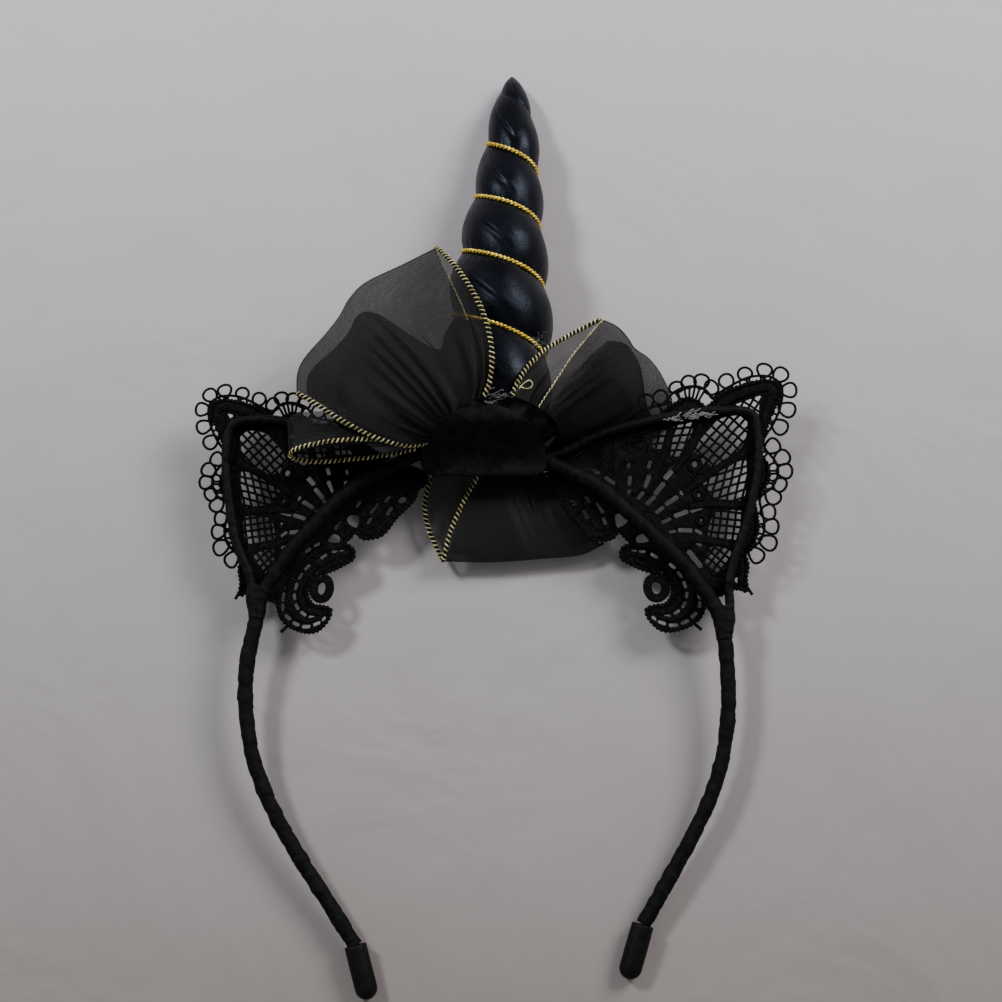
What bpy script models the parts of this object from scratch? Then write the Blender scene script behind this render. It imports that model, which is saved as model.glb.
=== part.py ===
"""A unicorn horn headband with lace ears and a gathered ribbon bow, lying on its front.

Metres, +Z up. The horn points to +Y and the two arms of the band run back to -Y. The origin is on
the surface that the headband lies on, in the middle of the flat that the stuffed horn has there.
"""

import math
from collections import namedtuple

import bmesh
import bpy
from mathutils import Vector

# The band: a wound wire with a soft cap on each end
BAND_HALF_WIDTH = 0.0676
BAND_HEIGHT = 0.150
BAND_RADIUS = 0.0021
CROWN_HEIGHT = 0.0155
CROWN_SETBACK = 0.0319
CROWN_SHIFT = 0.0030
CAP_DEPTH = 0.0120
CAP_WALL = 0.0006

# The ears: a thinner wound wire over a plate of lace
EAR_HEIGHT = 0.0570
EAR_WIRE_RADIUS = 0.0013
LACE_REACH = 0.0626
LACE_THICKNESS = 0.0012

# The horn: a stuffed cone with a spiral crease that holds a cord
HORN_LENGTH = 0.112
HORN_RADIUS = 0.0160
CREASE_SLANT = 0.0014
CREASE_DEPTH = 0.16
CORD_RADIUS = 0.00065
CORD_GAP = 0.0006

# The bow: four loops of one ribbon, and the felt pad over its knot
RIBBON_WIDTH = 0.050
RIBBON_WALL = 0.0010
PLEAT_DEPTH = 0.0005
PAD_WIDTH = 0.0354
PAD_LENGTH = 0.0270
PAD_THICKNESS = 0.0015
PAD_SHIFT = -0.0012

CLEARANCE = 0.0003

HORN_SIDES = 16
HORN_RINGS = 84
CAP_SIDES = 10
TUBE_STEP = 0.006
LOOP_COLUMNS = 9
PAD_COLUMNS = 7

CAP_BORE = (BAND_RADIUS + CLEARANCE) / math.cos(math.pi / CAP_SIDES)
CAP_RADIUS = CAP_BORE + CAP_WALL
CROWN = Vector((-CROWN_SHIFT, -CROWN_SETBACK, CROWN_HEIGHT))
HORN_BASE_Y = CROWN.y + BAND_RADIUS + CLEARANCE

# Each arm from the crown to its cap, as shares of BAND_HALF_WIDTH and BAND_HEIGHT.
# The last row but one is the cap's mouth, and the last one the middle of its round end.
# across, down
LEFT_ARM = [
    (0.243, 0.019), (0.368, 0.043), (0.527, 0.080), (0.638, 0.120),
    (0.734, 0.165), (0.824, 0.212), (0.933, 0.287), (0.960, 0.339),
    (0.996, 0.423), (0.997, 0.506), (0.960, 0.601), (0.876, 0.693),
    (0.763, 0.780), (0.642, 0.862), (0.538, 0.935), (0.493, 1.011),
]
RIGHT_ARM = [
    (0.251, 0.043), (0.368, 0.065), (0.469, 0.091), (0.635, 0.155),
    (0.800, 0.227), (0.891, 0.279), (0.956, 0.325), (0.982, 0.377),
    (0.992, 0.451), (0.989, 0.525), (0.958, 0.607), (0.901, 0.680),
    (0.808, 0.762), (0.704, 0.843), (0.632, 0.898), (0.582, 0.975),
]

# Each ear wire, as shares of BAND_HALF_WIDTH and EAR_HEIGHT from the crown and from its foot.
# across, up
LEFT_EAR = [
    (0.990, 0.086), (1.050, 0.258), (1.087, 0.507), (1.098, 0.682),
    (1.070, 0.839), (0.914, 0.861), (0.747, 0.823), (0.518, 0.790), (0.300, 0.762),
]
RIGHT_EAR = [
    (1.007, 0.186), (1.081, 0.456), (1.127, 0.707), (1.130, 0.907),
    (1.093, 1.000), (0.891, 1.000), (0.680, 0.956), (0.469, 0.886), (0.322, 0.800),
]
LEFT_FOOT = 6
RIGHT_FOOT = 6

# The lace's scalloped edge round the middle of its fan, as shares of LACE_REACH.
# angle in degrees, reach
LACE_EDGE = [
    (-28, 0.555), (-20, 0.568), (-12, 0.522), (-5, 0.545), (2, 0.573), (9, 0.568),
    (13, 0.585), (18, 0.650), (24, 0.682), (30, 0.690), (34, 0.740), (38, 0.860),
    (42, 0.918), (46, 0.925), (50, 0.870), (54, 0.750), (58, 0.662), (64, 0.655),
    (70, 0.640), (76, 0.590), (84, 0.565), (92, 0.525), (107, 0.474), (122, 0.450),
    (134, 0.450), (145, 0.455),
]
# The scrolls below the band, from the fan's inner end to its outer one.
# across, up
LACE_SCROLLS = [
    (-0.36, 0.21), (-0.325, 0.165), (-0.325, 0.115), (-0.25, 0.04), (-0.16, -0.02),
    (-0.075, -0.03), (-0.045, -0.075), (-0.055, -0.115), (-0.035, -0.145), (0.02, -0.165),
    (0.06, -0.170), (0.055, -0.22), (0.05, -0.27), (0.065, -0.33), (0.105, -0.395),
    (0.19, -0.435), (0.28, -0.43), (0.315, -0.36), (0.315, -0.30), (0.29, -0.235),
    (0.26, -0.185), (0.34, -0.20), (0.42, -0.22), (0.50, -0.275),
]
# The panels of net between the fan's ribs, each cut into cells.
# first angle, last angle, inner reach, outer reach, cells round, cells out
LACE_PANELS = [
    (-26, -12, 0.36, 0.48, 2, 2),
    (-7, 11, 0.36, 0.51, 3, 2),
    (16, 32, 0.39, 0.60, 3, 3),
    (37, 53, 0.46, 0.72, 3, 4),
    (57, 69, 0.44, 0.59, 2, 2),
    (73, 88, 0.41, 0.53, 2, 2),
]
# The fan's slots: the angle of each ray, and the reaches that its slots span.
LACE_RAYS = [-20, -1, 18, 37, 56, 75, 94]
LACE_SLOTS = [(0.12, 0.20), (0.23, 0.31)]
LACE_SLOT_WIDTH = 0.030
LACE_BAR = 0.018
# Round holes in the scrolls: across, up, radius
LACE_EYES = [(0.105, -0.25, 0.024), (-0.26, 0.12, 0.022), (-0.02, 0.05, 0.018)]
# The middle of each fan, as shares of BAND_HALF_WIDTH and BAND_HEIGHT from the crown, and how far
# the ear is pressed together sideways.
LACE_FAN_ACROSS = 0.603
LACE_FAN_DOWN = 0.167
LEFT_LACE_SQUEEZE = 0.90
RIGHT_LACE_SQUEEZE = 1.0

# The cord's two ends, as shares of HORN_LENGTH.
CORD_START = 0.12
CORD_END = 0.89

# The horn's sections, as shares of HORN_LENGTH from its base and of HORN_RADIUS.
# along, radius, sideways, height of the middle
HORN_SECTIONS = [
    (0.000, 0.840, -0.075, 1.162), (0.032, 0.950, -0.062, 1.120), (0.140, 1.000, -0.037, 1.015),
    (0.318, 0.958, 0.012, 0.915), (0.496, 0.815, 0.063, 0.800), (0.657, 0.640, 0.163, 0.660),
    (0.809, 0.494, 0.244, 0.532), (0.898, 0.390, 0.256, 0.445), (0.961, 0.245, 0.255, 0.330),
    (1.000, 0.060, 0.250, 0.240),
]
# Where the crease crosses the horn's right side: the share of HORN_LENGTH, and its turn.
CREASE_TURNS = [
    (-0.220, -2), (-0.015, -1), (0.187, 0), (0.382, 1), (0.553, 2), (0.706, 3), (0.872, 4), (1.040, 5),
]

# How far each layer of a loop stands off the loop's middle, from the knot to the far fold.
# reach, swell
LOOP_SECTION = [(0.00, 0.0), (0.20, 0.40), (0.42, 0.76), (0.65, 1.0), (0.85, 0.86), (0.97, 0.46)]

# The loops of the bow. Each one's near and far selvages start round the horn's base, at an angle,
# a radius in shares of HORN_RADIUS and a distance in front of the base in shares of HORN_RADIUS,
# and end at the far fold, at a place in shares of RIBBON_WIDTH from the middle of the base.
# The bulges, swells, arch and skews are shares of RIBBON_WIDTH and of the loop's spread.
Loop = namedtuple(
    "Loop", "name near_root far_root near_fold far_fold fold_bulge near_bulge far_bulge "
    "near_swell far_swell arch low_skew high_skew outward")
LOOPS = [
    Loop("upper_bow_loop", (100, 1.09, 0.33), (150, 1.16, 0.22), (-0.33, 1.00, 0.19),
         (-1.10, 0.16, 0.18), 0.20, 0.22, 0.15, 0.10, 0.05, 0.08, 0.05, 0.0, (0, 0, 1)),
    Loop("left_bow_loop", (166, 1.40, -0.37), (173, 1.24, 0.10), (-1.14, -0.18, 0.12),
         (-1.16, 0.05, 0.05), 0.0, 0.0, 0.0, 0.078, 0.062, 0.0, 0.0, 0.0, (0, 1, 0)),
    Loop("right_bow_loop", (72, 1.09, 0.33), (-42, 1.09, 0.05), (0.60, 0.61, 0.11),
         (1.03, 0.09, -0.31), 0.18, 0.06, 0.02, 0.09, 0.03, 0.04, 0.14, 0.0, (0, 0, 1)),
    Loop("lower_bow_loop", (-130, 0.68, -0.12), (-62, 0.68, -0.12), (-0.29, -0.71, -0.25),
         (0.62, -0.61, -0.27), 0.05, 0.18, -0.02, 0.055, 0.03, 0.0, 0.0, 0.45, (0, 0, 1)),
]

# The felt pad's bent profile, from the horn's shoulder over the knot and the band.
# back from the horn's base and up from the crown in shares of PAD_LENGTH, half width in shares
PAD_SECTIONS = [
    (-0.118, 0.698, 0.36), (-0.040, 0.680, 0.58), (0.040, 0.610, 0.76), (0.100, 0.470, 0.92),
    (0.155, 0.290, 0.98), (0.260, 0.160, 1.00), (0.380, 0.100, 0.97), (0.490, 0.060, 0.70),
]


def clear_scene():
    for obj in list(bpy.data.objects):
        bpy.data.objects.remove(obj, do_unlink=True)


def material(name, colour, roughness, metallic=0.0):
    made = bpy.data.materials.new(name)
    made.use_nodes = True
    shader = made.node_tree.nodes["Principled BSDF"]
    shader.inputs["Base Color"].default_value = (*colour, 1.0)
    shader.inputs["Roughness"].default_value = roughness
    shader.inputs["Metallic"].default_value = metallic
    return made


def add_object(name, data, finish):
    data.materials.append(finish)
    obj = bpy.data.objects.new(name, data)
    bpy.context.collection.objects.link(obj)
    return obj


def mesh_object(name, bm, finish):
    bmesh.ops.recalc_face_normals(bm, faces=bm.faces[:])
    mesh = bpy.data.meshes.new(name)
    bm.to_mesh(mesh)
    bm.free()
    mesh.shade_smooth()
    mesh.set_sharp_from_angle(angle=math.radians(40))
    return add_object(name, mesh, finish)


def thicken(obj, thickness):
    wall = obj.modifiers.new("wall", "SOLIDIFY")
    wall.thickness = thickness
    wall.offset = 0.0
    return obj


def spline_point(before, start, end, after, share):
    """A point on the smooth curve from start to end."""
    return 0.5 * (
        2 * start + (end - before) * share
        + (2 * before - 5 * start + 4 * end - after) * share ** 2
        + (3 * start - before - 3 * end + after) * share ** 3)


def smooth_path(points, step):
    """Points about a step apart on the smooth curve through the given ones."""
    path = []
    last = len(points) - 1
    for i in range(last):
        start, end = points[i], points[i + 1]
        before = points[i - 1] if i else 2 * start - end
        after = points[i + 2] if i + 2 <= last else 2 * end - start
        pieces = max(1, round((end - start).length / step))
        path += [spline_point(before, start, end, after, k / pieces) for k in range(pieces)]
    return path + [points[last]]


def table_value(rows, column, place):
    """The value of a table's column at a place between its rows, on a smooth curve."""
    i = max(k for k in range(len(rows) - 1) if rows[k][0] <= place or k == 0)
    start, end = rows[i], rows[i + 1]
    before = rows[i - 1] if i else start
    after = rows[i + 2] if i + 2 < len(rows) else end
    share = (place - start[0]) / (end[0] - start[0])
    width = end[0] - start[0]
    slope_in = (end[column] - before[column]) / (end[0] - before[0]) * width
    slope_out = (after[column] - start[column]) / (after[0] - start[0]) * width
    rise = end[column] - start[column]
    curve = share * (1 - share) * (
        (1 - share) * (slope_in - rise) - share * (slope_out - rise))
    return start[column] + rise * share + curve


def tube(name, path, radius, sides, finish):
    curve = bpy.data.curves.new(name, "CURVE")
    curve.dimensions = "3D"
    curve.bevel_depth = radius
    curve.bevel_resolution = sides // 2 - 2
    curve.use_fill_caps = True
    spline = curve.splines.new("POLY")
    spline.points.add(len(path) - 1)
    for point, place in zip(spline.points, path):
        point.co = (*place, 1.0)
    return add_object(name, curve, finish)


def band_plane(y, end_y):
    """The height of the band's middle: from the crown down to the caps on the surface."""
    share = (CROWN.y - y) / (CROWN.y - end_y)
    return CROWN_HEIGHT + (CAP_RADIUS - CROWN_HEIGHT) * share


def arm_points(rows, side):
    end_y = CROWN.y - rows[-1][1] * BAND_HEIGHT
    points = []
    for across, down in rows:
        y = CROWN.y - down * BAND_HEIGHT
        points.append(Vector((CROWN.x + side * across * BAND_HALF_WIDTH, y, band_plane(y, end_y))))
    return points


def ear_plane(y):
    mean_end = CROWN.y - 0.5 * (LEFT_ARM[-1][1] + RIGHT_ARM[-1][1]) * BAND_HEIGHT
    return band_plane(y, mean_end)


def build_band(finish):
    left = arm_points(LEFT_ARM, -1)
    right = arm_points(RIGHT_ARM, 1)
    curve = smooth_path(left[:-1][::-1] + [CROWN.copy()] + right[:-1], TUBE_STEP)
    # The wire goes on straight into each cap and stops short of the bore's end.
    depth = CAP_DEPTH - CLEARANCE
    left_end = left[-2] + (left[-1] - left[-2]).normalized() * depth
    right_end = right[-2] + (right[-1] - right[-2]).normalized() * depth
    return tube("headband", [left_end] + curve + [right_end], BAND_RADIUS, 8, finish)


def build_cap(name, mouth, end, finish):
    """A sleeve with a round end, bored for the wire."""
    length = (end - mouth).length
    lip = CAP_WALL / 2
    profile = [(0.0, CAP_DEPTH), (CAP_BORE, CAP_DEPTH), (CAP_BORE, 0.0),
               (CAP_RADIUS - lip, 0.0), (CAP_RADIUS, lip), (CAP_RADIUS, length)]
    for degrees in (35, 65, 90):
        turn = math.radians(degrees)
        profile.append((CAP_RADIUS * math.cos(turn), length + CAP_RADIUS * math.sin(turn)))
    profile[-1] = (0.0, length + CAP_RADIUS)
    bm = bmesh.new()
    verts = [bm.verts.new((radius, 0.0, height)) for radius, height in profile]
    edges = [bm.edges.new(pair) for pair in zip(verts, verts[1:])]
    bmesh.ops.spin(bm, geom=verts + edges, cent=(0, 0, 0), axis=(0, 0, 1),
                   angle=2 * math.pi, steps=CAP_SIDES, use_merge=True)
    bmesh.ops.remove_doubles(bm, verts=bm.verts[:], dist=1e-6)
    cap = mesh_object(name, bm, finish)
    cap.location = mouth
    cap.rotation_mode = "QUATERNION"
    cap.rotation_quaternion = (end - mouth).to_track_quat("Z", "Y")
    return cap


def build_ear_wire(name, rows, arm, foot_row, side, finish):
    """The wire stands on the band's outer side, goes round the ear and ends beside the crown."""
    foot = arm[foot_row]
    along = (arm[foot_row + 1] - arm[foot_row - 1]).normalized()
    outward = Vector((-along.y, along.x, 0.0)) * side
    drop = BAND_RADIUS - EAR_WIRE_RADIUS
    reach = BAND_RADIUS + EAR_WIRE_RADIUS + CLEARANCE
    points = [foot + outward * reach]
    for across, up in rows:
        x = CROWN.x + side * across * BAND_HALF_WIDTH
        y = foot.y + up * EAR_HEIGHT
        points.append(Vector((x, y, ear_plane(y))))
    path = [Vector((p.x, p.y, p.z - drop)) for p in smooth_path(points, TUBE_STEP)]
    return tube(name, path, EAR_WIRE_RADIUS, 6, finish)


def polar(angle, reach):
    turn = math.radians(angle)
    return (reach * math.cos(turn), reach * math.sin(turn))


def lace_holes():
    """The outlines of the gaps in the lace, as shares of LACE_REACH."""
    holes = []
    for first, last, inner, outer, around, outward in LACE_PANELS:
        for i in range(around):
            for k in range(outward):
                low = inner + (outer - inner) * k / outward + LACE_BAR / 2
                high = inner + (outer - inner) * (k + 1) / outward - LACE_BAR / 2
                margin = math.degrees(LACE_BAR / 2 / low)
                start = first + (last - first) * i / around + margin
                end = first + (last - first) * (i + 1) / around - margin
                holes.append([polar(start, low), polar(end, low), polar(end, high),
                              polar(start, high)])
    for ray in LACE_RAYS:
        for low, high in LACE_SLOTS:
            near = math.degrees(LACE_SLOT_WIDTH / 2 / low)
            far = math.degrees(LACE_SLOT_WIDTH / 2 / high)
            holes.append([polar(ray - near, low), polar(ray + near, low),
                          polar(ray + far, high), polar(ray - far, high)])
    for across, up, radius in LACE_EYES:
        ring = [polar(60 * k, radius) for k in range(6)]
        holes.append([(across + x, up + y) for x, y in ring])
    return holes


def build_lace(name, side, squeeze, finish):
    outline = [polar(angle, reach) for angle, reach in LACE_EDGE] + LACE_SCROLLS
    bm = bmesh.new()
    for shape in [outline] + lace_holes():
        verts = [bm.verts.new((x, y, 0.0)) for x, y in shape]
        for start, end in zip(verts, verts[1:] + verts[:1]):
            bm.edges.new((start, end))
    bmesh.ops.triangle_fill(bm, edges=bm.edges[:], use_beauty=True)
    middle_x = CROWN.x + side * LACE_FAN_ACROSS * BAND_HALF_WIDTH
    middle_y = CROWN.y - LACE_FAN_DOWN * BAND_HEIGHT
    drop = BAND_RADIUS + CLEARANCE + LACE_THICKNESS / 2
    for vert in bm.verts:
        x = middle_x + side * squeeze * vert.co.x * LACE_REACH
        y = middle_y + vert.co.y * LACE_REACH
        vert.co = (x, y, ear_plane(y) - drop)
    return thicken(mesh_object(name, bm, finish), LACE_THICKNESS)


def horn_middle(along):
    sideways = table_value(HORN_SECTIONS, 2, along) * HORN_RADIUS
    height = table_value(HORN_SECTIONS, 3, along) * HORN_RADIUS
    return Vector((sideways, HORN_BASE_Y + along * HORN_LENGTH, height))


def between_rows(rows, given, wanted, value):
    """The wanted column's value where the given column has this value, on straight lines."""
    i = max(k for k in range(len(rows) - 1) if rows[k][given] <= value)
    low, high = rows[i], rows[i + 1]
    share = (value - low[given]) / (high[given] - low[given])
    return low[wanted] + (high[wanted] - low[wanted]) * share


def crease_slant(fullness, turn):
    """How much further along the crease runs on the horn's left side."""
    return CREASE_SLANT / HORN_LENGTH * fullness ** 2 * (1 - math.cos(turn))


def horn_radius(along, turn):
    """The spiral lobes: full between the turns of the crease and drawn in along it."""
    fullness = table_value(HORN_SECTIONS, 1, along)
    turns = between_rows(CREASE_TURNS, 0, 1, along - crease_slant(fullness, turn))
    turns -= turn / (2 * math.pi)
    drawn_in = CREASE_DEPTH * (1 - abs(math.sin(math.pi * turns)))
    return fullness * HORN_RADIUS * (1 - drawn_in)


def horn_turn(index):
    return 2 * math.pi * (index + 0.5) / HORN_SIDES


def build_horn(finish):
    """The stuffed horn, flattened where it lies on the surface."""
    bm = bmesh.new()
    rings = []
    for i in range(HORN_RINGS + 1):
        along = i / HORN_RINGS
        middle = horn_middle(along)
        ring = []
        for j in range(HORN_SIDES):
            turn = horn_turn(j)
            radius = horn_radius(along, turn)
            x = middle.x + radius * math.cos(turn)
            z = middle.z + radius * math.sin(turn)
            ring.append(bm.verts.new((x, middle.y, max(z, 0.0))))
        rings.append(ring)
    for low, high in zip(rings, rings[1:]):
        for j in range(HORN_SIDES):
            k = (j + 1) % HORN_SIDES
            bm.faces.new((low[j], low[k], high[k], high[j]))
    bm.faces.new(rings[0])
    bm.faces.new(rings[-1])
    return mesh_object("horn", bm, finish)


def build_horn_cord(finish):
    """The cord lies in the spiral crease from the base to the horn's tip."""
    path = []
    first_turn, last_turn = CREASE_TURNS[1][1], CREASE_TURNS[-1][1]
    for index in range(first_turn * HORN_SIDES, last_turn * HORN_SIDES):
        turn = horn_turn(index)
        along = between_rows(CREASE_TURNS, 1, 0, turn / (2 * math.pi))
        along += crease_slant(table_value(HORN_SECTIONS, 1, along), turn)
        if not CORD_START < along < CORD_END:
            continue
        middle = horn_middle(along)
        bed = table_value(HORN_SECTIONS, 1, along) * HORN_RADIUS * (1 - CREASE_DEPTH)
        radius = bed + CORD_GAP + CORD_RADIUS
        path.append(middle + radius * Vector((math.cos(turn), 0.0, math.sin(turn))))
    return tube("horn_cord", path, CORD_RADIUS, 6, finish)


def bow_middle():
    return horn_middle(0.0)


def root_point(near_root, far_root, share):
    """A place on the gathered end of a loop, round the horn's base."""
    angle, radius, front = (a + (b - a) * share for a, b in zip(near_root, far_root))
    turn = math.radians(angle)
    return bow_middle() + HORN_RADIUS * Vector(
        (radius * math.cos(turn), front, radius * math.sin(turn)))


def loop_middle(loop, reach, share):
    """A point half way between a loop's two layers."""
    root = root_point(loop.near_root, loop.far_root, share)
    near = bow_middle() + RIBBON_WIDTH * Vector(loop.near_fold)
    far = bow_middle() + RIBBON_WIDTH * Vector(loop.far_fold)
    across = (far - near).normalized()
    outward = near.lerp(far, 0.5) - root_point(loop.near_root, loop.far_root, 0.5)
    outward = (outward - across * outward.dot(across)).normalized()
    fold = near.lerp(far, share)
    fold += outward * loop.fold_bulge * RIBBON_WIDTH * math.sin(math.pi * share) ** 0.8
    swing = math.sin(math.pi * reach ** 0.8) * RIBBON_WIDTH
    point = root.lerp(fold, reach)
    point += across * swing * (loop.far_bulge * share ** 2 - loop.near_bulge * (1 - share) ** 2)
    point.z += loop.arch * swing
    return point


def loop_normal(loop, reach, share):
    step = 0.02
    reach = min(max(reach, step), 1 - step)
    share = min(max(share, step), 1 - step)
    along = loop_middle(loop, reach + step, share) - loop_middle(loop, reach - step, share)
    across = loop_middle(loop, reach, share + step) - loop_middle(loop, reach, share - step)
    normal = along.cross(across).normalized()
    return normal if normal.dot(Vector(loop.outward)) > 0 else -normal


def loop_layer_point(loop, reach, swell, column, side):
    share = column / (LOOP_COLUMNS - 1)
    skew = loop.high_skew if side > 0 else loop.low_skew
    share += skew * (1 - reach) * (1 - share)
    full = loop.near_swell + (loop.far_swell - loop.near_swell) * share
    root_half = RIBBON_WALL / 2 + PLEAT_DEPTH + CLEARANCE
    lift = side * (root_half * (1 - reach) + full * swell * RIBBON_WIDTH)
    pleat = PLEAT_DEPTH * (1 - reach) * (-1) ** column
    return loop_middle(loop, reach, share) + loop_normal(loop, reach, share) * (lift + pleat)


def build_loop(loop, finish):
    """One loop of ribbon: out along its low layer, round the far fold and back along the high."""
    stations = [(reach, swell, -1) for reach, swell in LOOP_SECTION]
    stations += [(1.0, 0.0, 1)]
    stations += [(reach, swell, 1) for reach, swell in reversed(LOOP_SECTION)]
    bm = bmesh.new()
    rows = []
    for reach, swell, side in stations:
        rows.append([bm.verts.new(loop_layer_point(loop, reach, swell, column, side))
                     for column in range(LOOP_COLUMNS)])
    for low, high in zip(rows, rows[1:]):
        for k in range(LOOP_COLUMNS - 1):
            bm.faces.new((low[k], low[k + 1], high[k + 1], high[k]))
    return thicken(mesh_object(loop.name, bm, finish), RIBBON_WALL)


def build_felt_pad(finish):
    bm = bmesh.new()
    rows = []
    for back, up, width in PAD_SECTIONS:
        y = HORN_BASE_Y - back * PAD_LENGTH
        z = CROWN_HEIGHT + up * PAD_LENGTH
        row = []
        for k in range(PAD_COLUMNS):
            across = 2 * k / (PAD_COLUMNS - 1) - 1
            x = CROWN.x + PAD_SHIFT + across * width * PAD_WIDTH / 2
            row.append(bm.verts.new((x, y, z)))
        rows.append(row)
    for low, high in zip(rows, rows[1:]):
        for k in range(PAD_COLUMNS - 1):
            bm.faces.new((low[k], low[k + 1], high[k + 1], high[k]))
    return thicken(mesh_object("felt_pad", bm, finish), PAD_THICKNESS)


def build():
    clear_scene()
    wound_wire = material("wound_wire", (0.012, 0.012, 0.013), 0.75)
    cap_rubber = material("cap_rubber", (0.010, 0.010, 0.011), 0.60)
    lace = material("lace", (0.008, 0.008, 0.009), 0.85)
    horn_skin = material("horn_skin", (0.010, 0.011, 0.016), 0.38)
    gold_cord = material("gold_cord", (0.72, 0.48, 0.08), 0.35, 0.9)
    organza = material("organza", (0.020, 0.020, 0.021), 0.55)
    felt = material("felt", (0.016, 0.012, 0.013), 0.95)

    left_arm = arm_points(LEFT_ARM, -1)
    right_arm = arm_points(RIGHT_ARM, 1)
    build_band(wound_wire)
    build_cap("left_tip_cap", left_arm[-2], left_arm[-1], cap_rubber)
    build_cap("right_tip_cap", right_arm[-2], right_arm[-1], cap_rubber)
    build_ear_wire("left_ear_wire", LEFT_EAR, left_arm, LEFT_FOOT, -1, wound_wire)
    build_ear_wire("right_ear_wire", RIGHT_EAR, right_arm, RIGHT_FOOT, 1, wound_wire)
    build_lace("left_ear_lace", -1, LEFT_LACE_SQUEEZE, lace)
    build_lace("right_ear_lace", 1, RIGHT_LACE_SQUEEZE, lace)
    build_horn(horn_skin)
    build_horn_cord(gold_cord)
    for loop in LOOPS:
        build_loop(loop, organza)
    build_felt_pad(felt)


build()
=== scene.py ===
"""A unicorn horn headband with lace ears and a gathered ribbon bow, lying on pale paper.

Metres, +Z up, in the part's own frame. Tables are shares of the sizes that they follow, and the
lace's are in millimetres in the plane of each ear.
"""

import math
import random

import bmesh
import bpy
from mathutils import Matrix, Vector, noise


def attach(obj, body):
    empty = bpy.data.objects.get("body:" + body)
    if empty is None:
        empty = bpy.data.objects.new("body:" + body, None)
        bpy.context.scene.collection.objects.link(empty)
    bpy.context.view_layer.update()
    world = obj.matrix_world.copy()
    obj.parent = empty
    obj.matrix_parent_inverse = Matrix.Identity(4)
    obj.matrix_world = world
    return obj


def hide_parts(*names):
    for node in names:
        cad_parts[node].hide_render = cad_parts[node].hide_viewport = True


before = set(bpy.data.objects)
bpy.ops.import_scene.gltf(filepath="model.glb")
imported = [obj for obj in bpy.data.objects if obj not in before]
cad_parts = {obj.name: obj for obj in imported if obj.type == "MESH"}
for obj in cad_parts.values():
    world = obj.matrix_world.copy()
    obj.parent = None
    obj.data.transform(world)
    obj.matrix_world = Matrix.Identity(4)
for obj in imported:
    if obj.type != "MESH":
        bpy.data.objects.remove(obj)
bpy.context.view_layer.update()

MM = 0.001
UP = Vector((0, 0, 1))

# The part's own sizes
BAND_HALF_WIDTH = 0.0676
BAND_HEIGHT = 0.150
BAND_RADIUS = 0.0021
CROWN = Vector((-0.0030, -0.0319, 0.0155))
CAP_RADIUS = 0.0031
EAR_HEIGHT = 0.0570
EAR_WIRE_RADIUS = 0.0013
HORN_LENGTH = 0.112
HORN_RADIUS = 0.0160
HORN_BASE_Y = CROWN.y + 0.0024
CREASE_SLANT = 0.0014
RIBBON_WIDTH = 0.050
PAD_WIDTH = 0.0354
PAD_LENGTH = 0.0270
PAD_SHIFT = -0.0012

# The dressed pieces' own sizes; the horn's creases are a little deeper than the part's
CREASE_DEPTH = 0.185
CURVE_STEP = 0.002
BAND_STEP = 0.0005
EAR_STEP = 0.0004
EAR_TAPE_PITCH = 0.0030
WIRE_GAP = 0.0003
CORD_SPAN = (0.12, 0.845)
CORD_SEAT = 0.0005
STITCH_RADIUS = 0.00016
STITCH_SINK = 0.00002
STITCH_RISE = 0.00008
STRAND_RADIUS = 0.00040
STRAND_OFFSET = 0.00030
STRAND_PITCH = 0.0026
EDGE_STEP = 0.00022
EDGE_REACH = 0.00062
EDGE_LIFT = 0.00036
WHIP_PITCH = 0.00135
WHIP_RADIUS = 0.00020
EDGE_RADIUS = 0.00030
LINE_RADIUS = 0.00015
LINE_PITCH = 0.0013
FOLD_STEP = 0.0007
FOLD_RADIUS = 0.00016
CREASE_RADIUS = 0.00018
LINT_RADIUS = 0.00004
NAP_RADIUS = 0.00003
GLUE_SEED = 11
NAP_SEED = 5

# Each arm from the crown to its cap: across, down
LEFT_ARM = [
    (0.243, 0.019), (0.368, 0.043), (0.527, 0.080), (0.638, 0.120),
    (0.734, 0.165), (0.824, 0.212), (0.933, 0.287), (0.960, 0.339),
    (0.996, 0.423), (0.997, 0.506), (0.960, 0.601), (0.876, 0.693),
    (0.763, 0.780), (0.642, 0.862), (0.538, 0.935), (0.493, 1.011),
]
RIGHT_ARM = [
    (0.251, 0.043), (0.368, 0.065), (0.469, 0.091), (0.635, 0.155),
    (0.800, 0.227), (0.891, 0.279), (0.956, 0.325), (0.982, 0.377),
    (0.992, 0.451), (0.989, 0.525), (0.958, 0.607), (0.901, 0.680),
    (0.808, 0.762), (0.704, 0.843), (0.632, 0.898), (0.582, 0.975),
]
# Each ear wire from its foot to the crown: across, up
LEFT_EAR = [
    (0.990, 0.086), (1.050, 0.258), (1.087, 0.507), (1.098, 0.682),
    (1.070, 0.839), (0.914, 0.861), (0.747, 0.823), (0.518, 0.790), (0.300, 0.762), (0.230, 0.752),
]
RIGHT_EAR = [
    (1.007, 0.186), (1.081, 0.456), (1.127, 0.707), (1.130, 0.907),
    (1.093, 1.000), (0.891, 1.000), (0.680, 0.956), (0.469, 0.886), (0.322, 0.800), (0.250, 0.772),
]
EAR_FOOT = 6

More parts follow.
